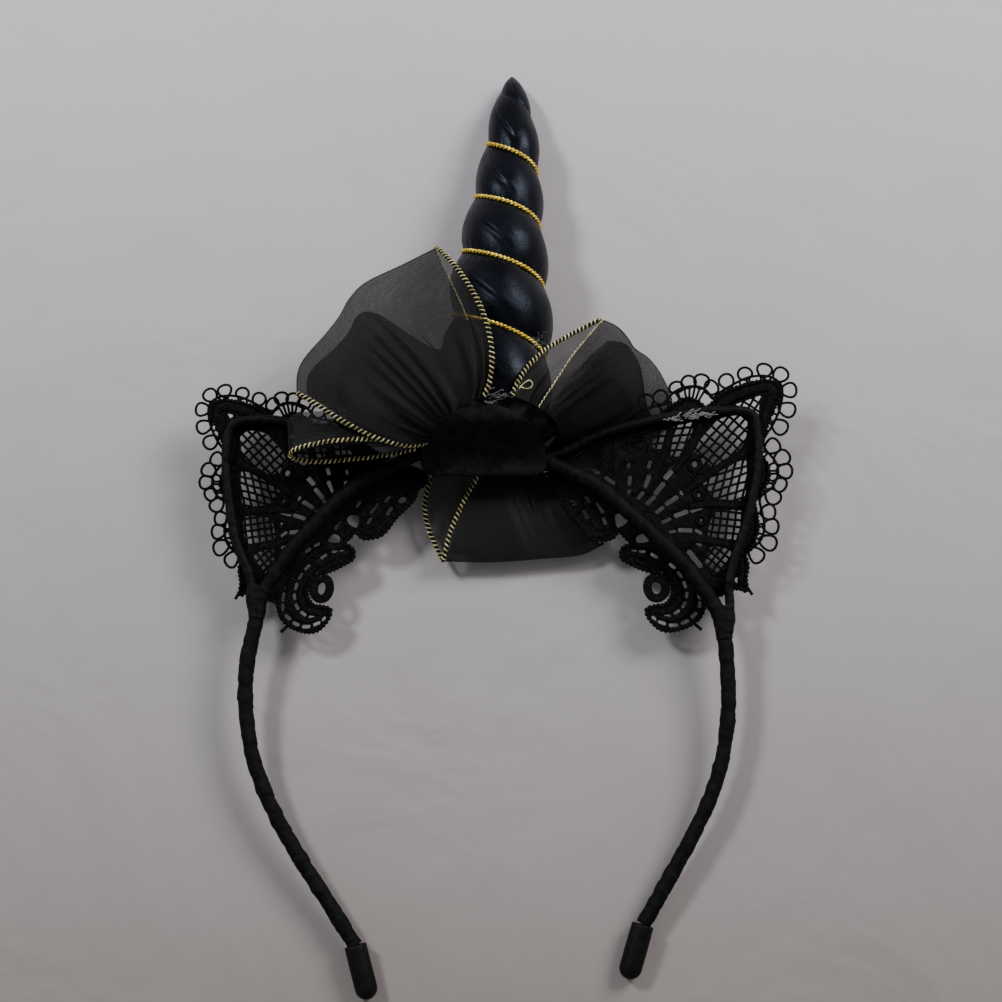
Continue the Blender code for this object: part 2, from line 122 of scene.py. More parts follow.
# The horn: along, radius, sideways, height of the middle
HORN_SECTIONS = [
    (0.000, 0.840, -0.075, 1.162), (0.032, 0.950, -0.062, 1.120), (0.140, 1.000, -0.037, 1.015),
    (0.318, 0.958, 0.012, 0.915), (0.496, 0.815, 0.063, 0.800), (0.657, 0.640, 0.163, 0.660),
    (0.809, 0.490, 0.244, 0.532), (0.880, 0.400, 0.254, 0.455), (0.918, 0.330, 0.256, 0.395),
    (0.945, 0.258, 0.256, 0.345), (0.965, 0.190, 0.255, 0.310), (0.984, 0.112, 0.252, 0.270),
    (1.000, 0.018, 0.250, 0.240),
]
CREASE_TURNS = [
    (-0.220, -2), (-0.015, -1), (0.187, 0), (0.382, 1), (0.553, 2), (0.706, 3), (0.872, 4), (1.040, 5),
]

# The felt pad: back, up, half width
PAD_SECTIONS = [
    (-0.110, 0.697, 0.05), (-0.100, 0.696, 0.22), (-0.075, 0.691, 0.37), (-0.030, 0.675, 0.53),
    (0.020, 0.635, 0.67), (0.065, 0.560, 0.78), (0.115, 0.420, 0.88), (0.170, 0.270, 0.955),
    (0.240, 0.180, 0.99), (0.290, 0.140, 1.00), (0.380, 0.100, 0.995), (0.445, 0.080, 0.95),
    (0.480, 0.064, 0.86), (0.492, 0.058, 0.74),
]

# The lace in one ear, from the middle of its fan: outwards, up
LACE_OUTLINE = [
    (-20.7, 11.1), (-22.9, 13.3), (-22.9, 16.6), (-20.2, 18.9), (-13.7, 22.2), (-8.2, 25.5),
    (-3.3, 28.3), (2.1, 30.0), (6.5, 31.6), (9.2, 33.6), (11.9, 35.5), (15.7, 37.5), (19.0, 36.6),
    (21.2, 35.0), (23.1, 36.1), (26.1, 38.9), (31.5, 41.1), (38.0, 42.6), (41.6, 41.6),
    (42.8, 38.9), (41.0, 35.5), (39.4, 32.2), (37.8, 27.8), (35.8, 24.4), (36.4, 21.6),
    (38.6, 18.3), (38.7, 14.4), (36.4, 10.5), (34.7, 8.0), (35.2, 4.4), (35.4, 0.0), (33.7, -5.0),
    (31.8, -6.9), (32.5, -10.0), (31.9, -13.9), (32.3, -17.2), (30.4, -16.6), (28.2, -16.6),
    (26.1, -17.8), (22.8, -18.9), (20.6, -20.0), (19.8, -22.8), (18.4, -25.1), (15.2, -27.2),
    (10.8, -28.4), (7.6, -27.8), (4.8, -25.1), (4.0, -22.5), (6.5, -21.6), (9.5, -21.0),
    (11.4, -17.9), (10.2, -14.0), (6.5, -12.1), (3.2, -11.1), (-1.7, -8.9), (-3.0, -7.8),
    (-3.0, -5.8), (-1.7, -4.7), (-0.1, -3.9), (-2.0, -1.9), (-3.9, 0.0), (-5.0, -1.7),
    (-7.7, -2.8), (-11.5, -2.5), (-15.3, 2.2), (-18.0, 5.0), (-19.9, 7.8),
]
# Net panels: outline, then the two thread angles and the two pitches
LACE_PANELS = [
    ([(28.2, 35.5), (32.6, 37.3), (37.2, 38.7), (36.9, 35.5), (36.4, 31.1), (34.8, 33.9), (32.0, 34.9)],
     58, -32, 1.9, 2.1),
    ([(21.2, 29.1), (24.4, 31.7), (28.8, 33.0), (32.7, 32.6), (33.5, 30.0), (32.7, 25.5), (30.4, 22.2),
      (26.1, 19.4), (21.7, 16.6), (20.3, 15.8), (19.8, 18.9), (17.4, 21.1), (16.8, 22.8)],
     48, -42, 2.0, 2.7),
    ([(19.8, 13.3), (22.2, 15.3), (27.1, 18.2), (31.5, 20.4), (32.9, 19.9), (33.0, 14.4), (32.5, 9.9),
      (31.0, 8.0), (27.1, 8.2), (23.1, 8.8), (21.7, 10.8)], 17, 76, 2.1, 2.1),
    ([(23.1, 5.0), (26.1, 6.0), (31.6, 5.4), (31.7, 0.6), (30.4, -4.0), (26.1, -2.8), (21.4, -2.1),
      (21.3, 0.6)], -6, 82, 2.0, 2.0),
    ([(22.8, -4.2), (28.2, -5.7), (27.7, -8.9), (24.4, -12.9), (21.7, -11.7), (20.2, -8.9),
      (21.2, -6.1)], 52, -40, 1.8, 1.9),
    ([(11.9, 29.7), (15.2, 30.6), (18.0, 31.0), (17.4, 27.2), (15.2, 23.3), (12.9, 19.7), (10.8, 21.1),
      (11.3, 25.5)], 70, 4, 2.1, 2.1),
    ([(6.5, 28.3), (10.0, 29.3), (10.2, 25.0), (9.2, 22.2), (6.5, 22.2), (5.4, 25.5)], 76, 2, 2.0, 2.0),
    ([(-2.8, 24.4), (0.5, 26.9), (4.0, 27.6), (3.9, 23.3), (2.1, 22.8), (-1.7, 22.9)], 80, 0, 2.0, 2.0),
]
# Larger openings beside the diamond link
LACE_GAPS = [
    [(-5.0, 4.3), (-2.2, 5.0), (-0.6, 3.1), (-2.2, 1.0), (-4.5, 0.6)],
    [(0.6, 3.4), (3.2, 1.1), (2.2, -0.4), (0.6, 1.2)],
    [(1.0, -1.7), (3.2, -0.8), (5.2, -2.5), (4.3, -3.7), (1.2, -3.8)],
]
# Narrow slots: from, to
LACE_SLOTS = [
    (9.5, 14.7, 12.6, 18.2), (6.6, 10.2, 9.1, 13.3), (4.2, 7.3, 6.5, 9.5),
    (14.0, 10.4, 18.3, 13.3), (9.7, 7.3, 12.9, 9.4), (6.9, 4.9, 8.9, 6.5), (16.8, 5.4, 19.8, 6.5),
    (12.2, 4.0, 15.7, 5.3), (8.6, 2.1, 10.9, 3.3), (18.0, 0.0, 19.6, -1.0),
    (13.3, 0.0, 16.8, -0.1), (10.6, -0.6, 12.2, -0.3), (3.9, 12.1, 5.0, 15.5),
    (4.7, 17.6, 5.4, 19.6), (1.7, 8.8, 3.2, 10.7), (-0.7, 12.7, -0.4, 15.3),
    (-1.0, 17.6, -0.7, 18.9), (-1.0, 10.4, -0.5, 11.5), (-7.4, 14.9, -4.8, 13.1),
    (-11.2, 17.3, -9.3, 16.1), (-5.1, 8.9, -4.0, 7.3), (16.0, -6.0, 19.4, -10.3),
    (18.2, -3.6, 19.5, -4.4), (7.6, -3.6, 9.1, -4.3), (10.4, -4.9, 11.9, -5.9),
    (2.7, -9.2, 5.1, -10.4), (7.0, -11.1, 8.2, -12.1),
    (17.4, -15.0, 17.9, -16.0), (10.6, -9.6, 12.0, -10.8), (12.9, -11.9, 13.9, -13.3),
    (14.5, -14.6, 15.0, -16.3), (15.3, -17.6, 15.2, -19.2), (14.9, -20.4, 14.0, -21.9),
    (13.1, -22.7, 11.7, -23.7), (10.5, -24.2, 9.0, -24.5),
    (18.6, -17.2, 18.9, -19.4), (18.9, -20.3, 18.8, -21.9), (16.5, -24.7, 18.0, -23.4),
    (13.8, -26.4, 15.6, -25.6), (10.4, -26.9, 12.6, -26.9), (7.3, -25.8, 9.1, -26.5),
    (5.5, -24.5, 6.5, -25.3), (-0.1, -6.1, 1.0, -5.8), (2.1, -6.0, 3.5, -6.1),
    (5.4, -6.8, 7.0, -7.8), (-13.1, 9.4, -12.0, 7.8), (-9.8, 7.8, -8.2, 5.0),
    (-8.2, 3.3, -7.4, 1.7), (-13.7, 5.5, -12.6, 3.3),
]
# Round holes: across, up, radius
LACE_EYES = [
    (17.9, 18.7, 0.8), (19.0, 9.9, 0.5), (19.6, 2.8, 0.4), (-16.6, 7.5, 1.1),
    (29.5, -14.2, 0.7),
]
# Raised cords: half width, then the points
LACE_CORDS = [
    (0.9, [(4.3, 10.0), (8.6, 19.4), (11.0, 27.8), (10.6, 32.5)]),
    (1.1, [(11.9, 16.6), (17.4, 23.8), (19.6, 30.4), (20.8, 34.2)]),
    (1.0, [(14.6, 10.5), (20.6, 14.6), (26.0, 18.6), (33.4, 22.4)]),
    (1.0, [(16.3, 6.6), (21.7, 7.2), (31.5, 6.8), (34.2, 7.0)]),
    (0.9, [(16.3, -2.8), (21.2, -3.1), (28.8, -4.8), (31.5, -6.1)]),
    (0.8, [(0.5, 10.0), (2.1, 18.9), (5.0, 26.1), (5.4, 29.6)]),
    (0.8, [(-3.3, 8.9), (-4.4, 17.8), (-4.6, 23.0), (-5.0, 26.4)]),
    (1.4, [(23.5, 34.2), (30.0, 38.4), (38.4, 40.8), (40.4, 38.6), (38.6, 34.0), (37.2, 29.0),
           (35.0, 25.0)]),
    (1.1, [(13.0, 33.6), (16.2, 35.0), (19.2, 34.0), (21.6, 32.6)]),
    (1.0, [(34.9, 21.6), (37.0, 18.0), (37.0, 14.6), (35.0, 11.0)]),
    (0.9, [(33.4, 6.6), (33.8, 2.0), (33.0, -2.0), (31.4, -5.4)]),
    (0.9, [(30.6, -7.6), (31.0, -11.0), (30.4, -15.0)]),
    (0.8, [(22.0, 18.6), (20.0, 16.6), (17.6, 16.8), (16.2, 18.6), (17.2, 20.8), (19.4, 20.6)]),
    (1.25, [(6.8, -13.3), (4.8, -14.2), (4.2, -16.6), (5.4, -18.9), (7.6, -19.2), (9.2, -17.4),
            (8.8, -14.8), (6.8, -13.3)]),
    (0.8, [(-2.0, -6.4), (3.0, -7.6), (8.6, -10.2), (12.4, -14.2), (13.4, -18.6), (11.6, -22.0),
           (7.6, -23.6)]),
    (0.8, [(0.4, -4.9), (7.0, -5.4), (12.6, -8.6), (16.4, -13.4), (17.2, -18.6), (15.6, -22.8),
           (11.4, -25.2), (6.6, -24.6)]),
    (0.7, [(-1.6, -8.0), (3.6, -9.8), (8.0, -11.8)]),
    (0.7, [(-21.4, 14.0), (-18.0, 11.8), (-14.0, 11.0), (-10.0, 8.8), (-7.0, 5.2), (-5.6, 1.6)]),
    (0.7, [(-18.6, 9.4), (-18.2, 6.6), (-16.0, 4.8), (-14.4, 6.6), (-15.0, 9.2), (-17.0, 10.0)]),
    (0.7, [(-16.0, 3.6), (-12.6, -0.4), (-9.2, -1.6), (-6.4, -0.8)]),
    (0.7, [(-11.6, 2.6), (-9.6, 0.6), (-7.6, 0.4)]),
    (0.9, [(-2.0, 0.1), (-0.2, -2.0), (1.1, 0.2), (-0.4, 2.0)]),
]
# The picots, and the fine line that they stand on
LACE_PICOTS = [
    (4.3, 36.6), (8.6, 37.7), (13.0, 40.5), (16.5, 41.9), (20.1, 42.3), (22.8, 40.6), (27.4, 42.3),
    (32.6, 44.5), (38.1, 45.6), (42.6, 44.3), (45.2, 40.0), (44.6, 34.4), (42.3, 29.5),
    (40.3, 24.0), (42.8, 20.6), (43.5, 16.8), (41.9, 13.0), (40.0, 9.5), (38.6, 5.1), (39.4, 1.0),
    (38.6, -3.6), (35.2, -7.3),
]
LACE_LINE = [
    (-0.6, 31.9), (2.1, 33.9), (5.4, 35.0), (9.2, 36.1), (11.9, 39.1), (15.2, 40.8), (19.0, 41.1),
    (21.7, 39.7), (23.1, 37.6), (25.0, 39.1), (28.2, 41.1), (33.7, 43.7), (39.1, 44.0),
    (42.5, 42.1), (43.2, 38.9), (42.3, 34.4), (40.3, 30.0), (37.8, 26.1), (38.0, 23.3),
    (41.0, 19.4), (41.6, 16.1), (39.9, 12.2), (36.4, 9.2), (36.9, 5.0), (37.5, 1.1), (36.4, -2.8),
    (32.9, -6.1),
]
LACE_FAN = (0.0408, -0.0250)
LACE_DROP = 0.0030
# Two loose ends at the lace's lower edge
LACE_TAILS = [
    [(31.9, -16.0), (33.0, -17.2), (33.8, -18.4)],
    [(17.0, -26.2), (18.4, -27.4), (19.4, -28.2)],
]
# Millimetres: the lace's thickness and the half widths of its threads
LACE_THICKNESS = 0.7
NET_THREAD = 0.36
PICOT_THREAD = 0.37
LINE_THREAD = 0.38
LINK_THREAD = 0.34
TAIL_THREAD = 0.45

# The loops of the bow: roots as degrees, radius and front, the fold as share and bulge, the cut as
# width, length and area, the inner folds as fullness, cut and rows of share and reach, the creases,
# and the edges as share, layer and kind
PLAIN_LOOP = dict(
    bulge=(0.0, 0.0), peak=0.8, arch=0.0, low_skew=(0.0, 0.0), high_skew=(0.0, 0.0),
    outward=(0, 0, 1), creases=[])
LOOPS = {
    "upper_bow_loop": dict(
        PLAIN_LOOP, near_root=(100, 1.09, 0.33), far_root=(164, 1.25, -0.28),
        near_fold=(-0.33, 1.00, 0.19), far_fold=(-1.10, 0.16, 0.18), bulge=(0.158, 0.10), peak=0.6,
        swell=(0.10, 0.05), arch=0.08, low_skew=(0.16, 0.14),
        fold=[(0.0, 0.0), (0.165, 0.075), (0.361, 0.165), (0.474, 0.167), (0.571, 0.137),
              (0.684, 0.122), (0.843, 0.112), (0.922, 0.080), (1.0, 0.0)],
        cut=(0.050, 0.110, 0.00445),
        inner=[(0.55, (0.047, 0.080, 0.00290),
                [(0.03, 0.30), (0.12, 0.44), (0.22, 0.42), (0.31, 0.34), (0.38, 0.50), (0.43, 0.78),
                 (0.50, 0.88), (0.62, 0.87), (0.76, 0.88), (0.90, 0.91), (0.98, 0.90)]),
               (0.25, (0.025, 0.074, 0.00143),
                [(0.44, 0.56), (0.54, 0.70), (0.68, 0.74), (0.82, 0.72), (0.93, 0.60)])],
        creases=[(0.30, 0.34, 0.10, 0.44), (0.40, 0.46, 0.16, 0.80), (0.66, 0.60, 0.10, 0.60),
                 (0.86, 0.80, 0.12, 0.66)],
        edges=[(0.0, 1, "wide"), (0.0, -1, "line"), (1.0, 1, "wide"), (1.0, -1, "line")]),
    "left_bow_loop": dict(
        PLAIN_LOOP, near_root=(166, 1.40, -0.37), far_root=(173, 1.24, 0.10),
        near_fold=(-1.14, -0.18, 0.12), far_fold=(-1.16, 0.05, 0.05), swell=(0.100, 0.080),
        outward=(0, 1, 0), fold=[(0.0, 0.0), (1.0, 0.0)], cut=(0.017, 0.084, 0.00125),
        inner=[(0.45, (0.0145, 0.076, 0.00094), [(0.10, 0.94), (0.95, 0.94)])],
        edges=[(0.0, 1, "wide"), (0.0, -1, "wide")]),
    "right_bow_loop": dict(
        PLAIN_LOOP, near_root=(72, 1.09, 0.33), far_root=(-45, 1.14, -0.30),
        near_fold=(0.60, 0.61, 0.11), far_fold=(1.03, 0.09, -0.31), bulge=(0.06, 0.12),
        swell=(0.09, 0.03), arch=0.04, high_skew=(0.22, 0.0),
        fold=[(0.0, 0.0), (0.13, 0.060), (0.248, 0.078), (0.340, 0.078), (0.493, 0.120),
              (0.664, 0.124), (0.861, 0.086), (1.0, 0.0)],
        cut=(0.050, 0.080, 0.00328),
        inner=[(0.50, (0.036, 0.070, 0.00210),
                [(0.16, 0.84), (0.30, 0.96), (0.45, 0.90), (0.66, 0.79), (0.98, 0.73)]),
               (0.25, (0.031, 0.050, 0.00121), [(0.30, 0.60), (0.55, 0.66), (0.92, 0.55)])],
        creases=[(0.46, 0.42, 0.15, 0.86), (0.70, 0.62, 0.12, 0.64)],
        edges=[(0.0, -1, "wide"), (0.0, 1, "line")]),
    "lower_bow_loop": dict(
        PLAIN_LOOP, near_root=(-130, 0.68, -0.12), far_root=(-42, 0.92, -0.16),
        near_fold=(-0.29, -0.71, -0.25), far_fold=(0.62, -0.61, -0.27), bulge=(0.18, -0.02),
        swell=(0.055, 0.03), high_skew=(0.45, 0.0),
        fold=[(0.0, 0.0), (0.30, 0.035), (0.60, 0.045), (0.86, 0.045), (1.0, 0.0)],
        cut=(0.050, 0.070, 0.00256),
        inner=[(0.50, (0.040, 0.062, 0.00185), [(0.03, 0.92), (0.25, 0.95), (0.70, 0.94), (0.97, 0.92)]),
               (0.25, (0.030, 0.050, 0.00120), [(0.08, 0.60), (0.30, 0.74), (0.60, 0.80), (0.92, 0.66)])],
        creases=[(0.60, 0.66, 0.15, 0.60)],
        edges=[(0.0, -1, "wide"), (0.0, 1, "wide"), (1.0, 1, "wide")]),
}
LOOP_SECTION = [
    (0.00, 0.0), (0.20, 0.40), (0.42, 0.76), (0.65, 1.0), (0.85, 0.86), (0.97, 0.46), (1.0, 0.0),
]


class Shape:
    """Points and faces that become one mesh."""

    def __init__(self):
        self.points = []
        self.faces = []


# Paths and tubes

def part_way(start, end, k, count):
    """The value after k of count equal steps from start to end."""
    return start + (end - start) * k / count


def full_turn(sides):
    """The angles of equal steps round a circle."""
    return [2 * math.pi * k / sides for k in range(sides)]


def around(place, side, normal, wide, high, turn):
    """A place on an oval round another one."""
    return place + side * (wide * math.cos(turn)) + normal * (high * math.sin(turn))


def spline_point(before, start, end, after, share):
    return 0.5 * (
        2 * start + (end - before) * share
        + (2 * before - 5 * start + 4 * end - after) * share ** 2
        + (3 * start - before - 3 * end + after) * share ** 3)


def smooth(points, step, closed=False):
    """Points about a step apart on the smooth curve through the given ones."""
    count = len(points)
    path = []
    for i in range(count if closed else count - 1):
        start, end = points[i], points[(i + 1) % count]
        before = points[i - 1] if i or closed else 2 * start - end
        after = points[(i + 2) % count] if i + 2 < count or closed else 2 * end - start
        pieces = max(1, round((end - start).length / step))
        path += [spline_point(before, start, end, after, k / pieces) for k in range(pieces)]
    return path if closed else path + [points[-1]]


def even(path, step):
    """The path again, with its points the same distance apart."""
    made = [path[0].copy()]
    left = step
    for start, end in zip(path, path[1:]):
        length = (end - start).length
        done = 0.0
        while length - done >= left:
            done += left
            made.append(start.lerp(end, done / length))
            left = step
        left -= length - done
    return made


def table_value(rows, column, place):
    """The value of a table's column at a place between its rows, on a smooth curve."""
    i = max(k for k in range(len(rows) - 1) if rows[k][0] <= place or k == 0)
    start, end = rows[i], rows[i + 1]
    before = rows[i - 1] if i else start
    after = rows[i + 2] if i + 2 < len(rows) else end
    share = (place - start[0]) / (end[0] - start[0])
    width = end[0] - start[0]
    slope_in = (end[column] - before[column]) / (end[0] - before[0]) * width
    slope_out = (after[column] - start[column]) / (after[0] - start[0]) * width
    rise = end[column] - start[column]
    curve = share * (1 - share) * ((1 - share) * (slope_in - rise) - share * (slope_out - rise))
    return start[column] + rise * share + curve


def between_rows(rows, given, wanted, value):
    i = max(k for k in range(len(rows) - 1) if rows[k][given] <= value)
    low, high = rows[i], rows[i + 1]
    share = (value - low[given]) / (high[given] - low[given])
    return low[wanted] + (high[wanted] - low[wanted]) * share


def frames(path, closed=False, up=None):
    """Each point of a path with the direction along it and two directions across it."""
    count = len(path)
    normal = up
    rows = []
    for i, place in enumerate(path):
        before = path[i - 1] if i or closed else path[0]
        after = path[(i + 1) % count] if i + 1 < count or closed else path[-1]
        along = (after - before).normalized()
        if up is not None:
            normal = up
        elif normal is None:
            normal = UP if abs(along.z) < 0.9 else Vector((1, 0, 0))
        side = along.cross(normal).normalized()
        normal = side.cross(along)
        rows.append((place, along, side, normal))
    return rows


def join_rings(shape, first, count, sides, closed=False):
    """Faces between rings of points, from the point numbered first on."""
    for i in range(count if closed else count - 1):
        low = first + i * sides
        high = first + (i + 1) % count * sides
        for k in range(sides):
            j = (k + 1) % sides
            shape.faces.append((low + k, low + j, high + j, high + k))


def add_tube(shape, path, radius, sides=6, closed=False, up=None, flat=1.0):
    """A tube round a path. The radius is a number, or a function of the point's number and turn."""
    count = len(path)
    first = len(shape.points)
    for i, (place, along, side, normal) in enumerate(frames(path, closed, up)):
        for turn in full_turn(sides):
            size = radius(i, turn) if callable(radius) else radius
            shape.points.append(around(place, side, normal, size, size * flat, turn))
    join_rings(shape, first, count, sides, closed)
    if not closed:
        last = first + (count - 1) * sides
        shape.faces.append(tuple(first + k for k in reversed(range(sides))))
        shape.faces.append(tuple(last + k for k in range(sides)))


def helix(rows, side_size, normal_size, pitch, phase=0.0):
    """A path that winds round another one, given as its frames."""
    path = []
    travelled = 0.0
    last = rows[0][0]
    for place, along, side, normal in rows:
        travelled += (place - last).length
        last = place
        turn = 2 * math.pi * travelled / pitch + phase
        path.append(around(place, side, normal, side_size, normal_size, turn))
    return path


def add_object(name, data):
    made = bpy.data.objects.new(name, data)
    bpy.context.collection.objects.link(made)
    return made


def add_piece(name, shape, material, slot, *nodes):
    mesh = bpy.data.meshes.new(name)
    mesh.from_pydata(shape.points, [], shape.faces)
    mesh.shade_smooth()
    mesh.materials.append(material)
    piece = add_object(name, mesh)
    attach(piece, "root")
    if nodes:
        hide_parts(*nodes)
    return piece


def wobble(place, size, amount):
    """A smooth random offset that depends on the place alone."""
    return noise.noise(place / size) * amount


# Materials

def grey(level):
    return (level, level, level)


def node(tree, kind, inputs=(), **settings):
    made = tree.nodes.new(kind)
    for key, value in settings.items():
        setattr(made, key, value)
    for key, value in dict(inputs).items():
        if isinstance(value, bpy.types.NodeSocket):
            tree.links.new(value, made.inputs[key])
        else:
            made.inputs[key].default_value = value
    return made


def new_material(name, colour, roughness, **sockets):
    """A material with plain values set; returns it, its tree, its shader and the place on the object."""
    material = bpy.data.materials.new(name)
    material.use_nodes = True
    tree = material.node_tree
    shader = tree.nodes["Principled BSDF"]
    shader.inputs["Base Color"].default_value = (*colour, 1)
    shader.inputs["Roughness"].default_value = roughness
    for socket, value in sockets.items():
        shader.inputs[socket.replace("_", " ")].default_value = value
    return material, tree, shader, node(tree, "ShaderNodeTexCoord").outputs["Object"]


def connect(tree, shader, **sockets):
    for socket, value in sockets.items():
        tree.links.new(value, shader.inputs[socket.replace("_", " ")])


def noise_value(tree, place, scale, detail=3.0, roughness=0.5, distortion=0.0):
    return node(tree, "ShaderNodeTexNoise", {
        "Vector": place, "Scale": scale, "Detail": detail, "Roughness": roughness,
        "Distortion": distortion}).outputs["Fac"]


def ramp(tree, value, low, high):
    """A colour that goes from low to high as the value rises; each is (position, colour)."""
    made = node(tree, "ShaderNodeValToRGB", {"Fac": value})
    for point, (position, colour) in zip(made.color_ramp.elements, (low, high)):
        point.position = position
        point.color = (*colour, 1)
    return made.outputs["Color"]


def grey_ramp(tree, value, low, high):
    return ramp(tree, value, (low[0], grey(low[1])), (high[0], grey(high[1])))


def scaled_sum(tree, value, factor, added):
    settings = {0: value, 1: factor, 2: added}
    return node(tree, "ShaderNodeMath", settings, operation="MULTIPLY_ADD").outputs[0]


def bump(tree, height, strength, distance, before=None):
    inputs = {"Height": height, "Strength": strength, "Distance": distance}
    if before is not None:
        inputs["Normal"] = before
    return node(tree, "ShaderNodeBump", inputs).outputs["Normal"]


def cloth_material(name, low, high, roughness, size, strength):
    """Fine threads: a colour that varies, and a bump of crossing noise."""
    material, tree, shader, place = new_material(name, low, roughness, Specular_IOR_Level=0.08)
    cloud = noise_value(tree, place, 1 / (6 * size), 4.0)
    worn = noise_value(tree, place, 1 / (3 * size), 3.0)
    fine = noise_value(tree, place, 1 / size, 2.0, 0.6)
    connect(
        tree, shader,
        Base_Color=ramp(tree, cloud, (0.35, low), (0.7, high)),
        Roughness=grey_ramp(tree, worn, (0.3, roughness - 0.12), (0.7, roughness + 0.1)),
        Normal=bump(tree, fine, strength, size))
    return material


def lace_material():
    material, tree, shader, place = new_material("lace_thread", grey(0.003), 0.62, Specular_IOR_Level=0.07)
    cloud = noise_value(tree, place, 900, 4.0, 0.7)
    wave = node(tree, "ShaderNodeTexWave", {
        "Vector": place, "Scale": 640, "Distortion": 9.0, "Detail": 2.0, "Detail Scale": 0.35},
        wave_type="BANDS", bands_direction="DIAGONAL").outputs["Fac"]
    ridges = bump(tree, wave, 0.8, 0.0003)
    connect(
        tree, shader,
        Base_Color=ramp(tree, cloud, (0.42, (0.0010, 0.0010, 0.0012)), (0.78, (0.010, 0.010, 0.011))),
        Normal=bump(tree, noise_value(tree, place, 1600, 2.0), 0.5, 0.0002, ridges))
    return material


def skin_material():
    material, tree, shader, place = new_material(
        "horn_cloth", (0.002, 0.0021, 0.003), 0.40, Specular_IOR_Level=0.15,
        Specular_Tint=(0.62, 0.74, 1.0, 1))
    cloud = noise_value(tree, place, 70, 5.0, 0.6)
    worn = noise_value(tree, place, 160, 5.0, 0.65)
    cells = node(tree, "ShaderNodeTexVoronoi", {"Vector": place, "Scale": 1500}, feature="SMOOTH_F1")
    grain = bump(tree, cells.outputs["Distance"], 0.16, 0.0002)
    connect(
        tree, shader,
        Base_Color=ramp(tree, cloud, (0.35, (0.0012, 0.0012, 0.0017)), (0.72, (0.0032, 0.0034, 0.0058))),
        Roughness=grey_ramp(tree, worn, (0.3, 0.26), (0.72, 0.50)),
        Normal=bump(tree, noise_value(tree, place, 240, 4.0, 0.6), 0.22, 0.0006, grain))
    return material


def gold_material(name, low, high, roughness, metallic):
    material, tree, shader, place = new_material(name, high, roughness, Metallic=metallic)
    cloud = noise_value(tree, place, 600, 3.0, 0.6)
    worn = noise_value(tree, place, 1500, 2.0)
    connect(
        tree, shader,
        Base_Color=ramp(tree, cloud, (0.35, low), (0.62, high)),
        Roughness=grey_ramp(tree, worn, (0.3, roughness - 0.1), (0.7, roughness + 0.15)),
        Normal=bump(tree, noise_value(tree, place, 5200, 2.0), 0.5, 0.0001))
    return material


def organza_material():
    """Sheer cloth: two sets of threads with light passing between them."""
    material, tree, shader, place = new_material("sheer_ribbon", grey(0.009), 0.5, Specular_IOR_Level=0.12)
    weave = node(tree, "ShaderNodeAttribute", attribute_name="weave").outputs["Vector"]
    shift = node(tree, "ShaderNodeTexNoise", {"Vector": place, "Scale": 90.0, "Detail": 2.0})
    bent = node(tree, "ShaderNodeMix", {
        "Factor": 0.0006, "A": weave, "B": shift.outputs["Color"]}, data_type="VECTOR").outputs["Result"]
    threads = [
        node(tree, "ShaderNodeTexWave", {
            "Vector": bent, "Scale": 600.0, "Distortion": 0.8, "Detail": 1.0, "Detail Scale": 2.0},
            wave_type="BANDS", bands_direction=direction).outputs["Fac"]
        for direction in ("X", "Y")]
    both = node(tree, "ShaderNodeMath", {0: threads[0], 1: threads[1]}, operation="MAXIMUM").outputs[0]
    cloud = noise_value(tree, place, 120, 4.0, 0.6)
    cover = scaled_sum(tree, cloud, 0.20, scaled_sum(tree, both, 0.42, 0.28))
    connect(
        tree, shader,
        Base_Color=ramp(tree, threads[0], (0.2, grey(0.004)), (0.9, (0.017, 0.017, 0.0175))),
        Normal=bump(tree, threads[1], 0.4, 0.0002))
    clear = node(tree, "ShaderNodeBsdfTransparent")
    mixed = node(tree, "ShaderNodeMixShader", {0: cover, 1: clear.outputs[0], 2: shader.outputs[0]})
    connect(tree, tree.nodes["Material Output"], Surface=mixed.outputs[0])
    return material


def glue_material():
    material, tree, shader, place = new_material("clear_glue", (0.30, 0.30, 0.31), 0.30, Alpha=0.45)
    connect(tree, shader, Normal=bump(tree, noise_value(tree, place, 900, 3.0), 0.6, 0.0004))
    return material


def paper_material():
    """Pale paper with painted shade: darker and warmer towards the near edge, standing in for light that
    falls off there, with slight creases.
    """
    material, tree, shader, place = new_material("pale_paper_painted_shade", (0.60, 0.59, 0.60), 0.75)
    along = node(tree, "ShaderNodeSeparateXYZ", {"Vector": place}).outputs["Y"]
    mottle = noise_value(tree, place, 7, 4.0, 0.6)
    # Painted shade: the level falls towards the near edge (lower Y), so the paper darkens there as if less
    # light reached it; the mottle on top is the paper's own uneven tone.
    level = scaled_sum(tree, mottle, 0.18, scaled_sum(tree, along, 2.9, 0.575))
    creases = bump(tree, noise_value(tree, place, 14, 3.0, 0.5, 1.2), 0.35, 0.006)
    connect(
        tree, shader,
        # Painted shade: the ramp's dark, warm end is the shaded near edge and its pale end is the lit far
        # edge.
        Base_Color=ramp(tree, level, (0.05, (0.228, 0.202, 0.186)), (0.97, (0.572, 0.536, 0.562))),
        Normal=bump(tree, noise_value(tree, place, 700, 4.0), 0.12, 0.0003, creases))
    return material


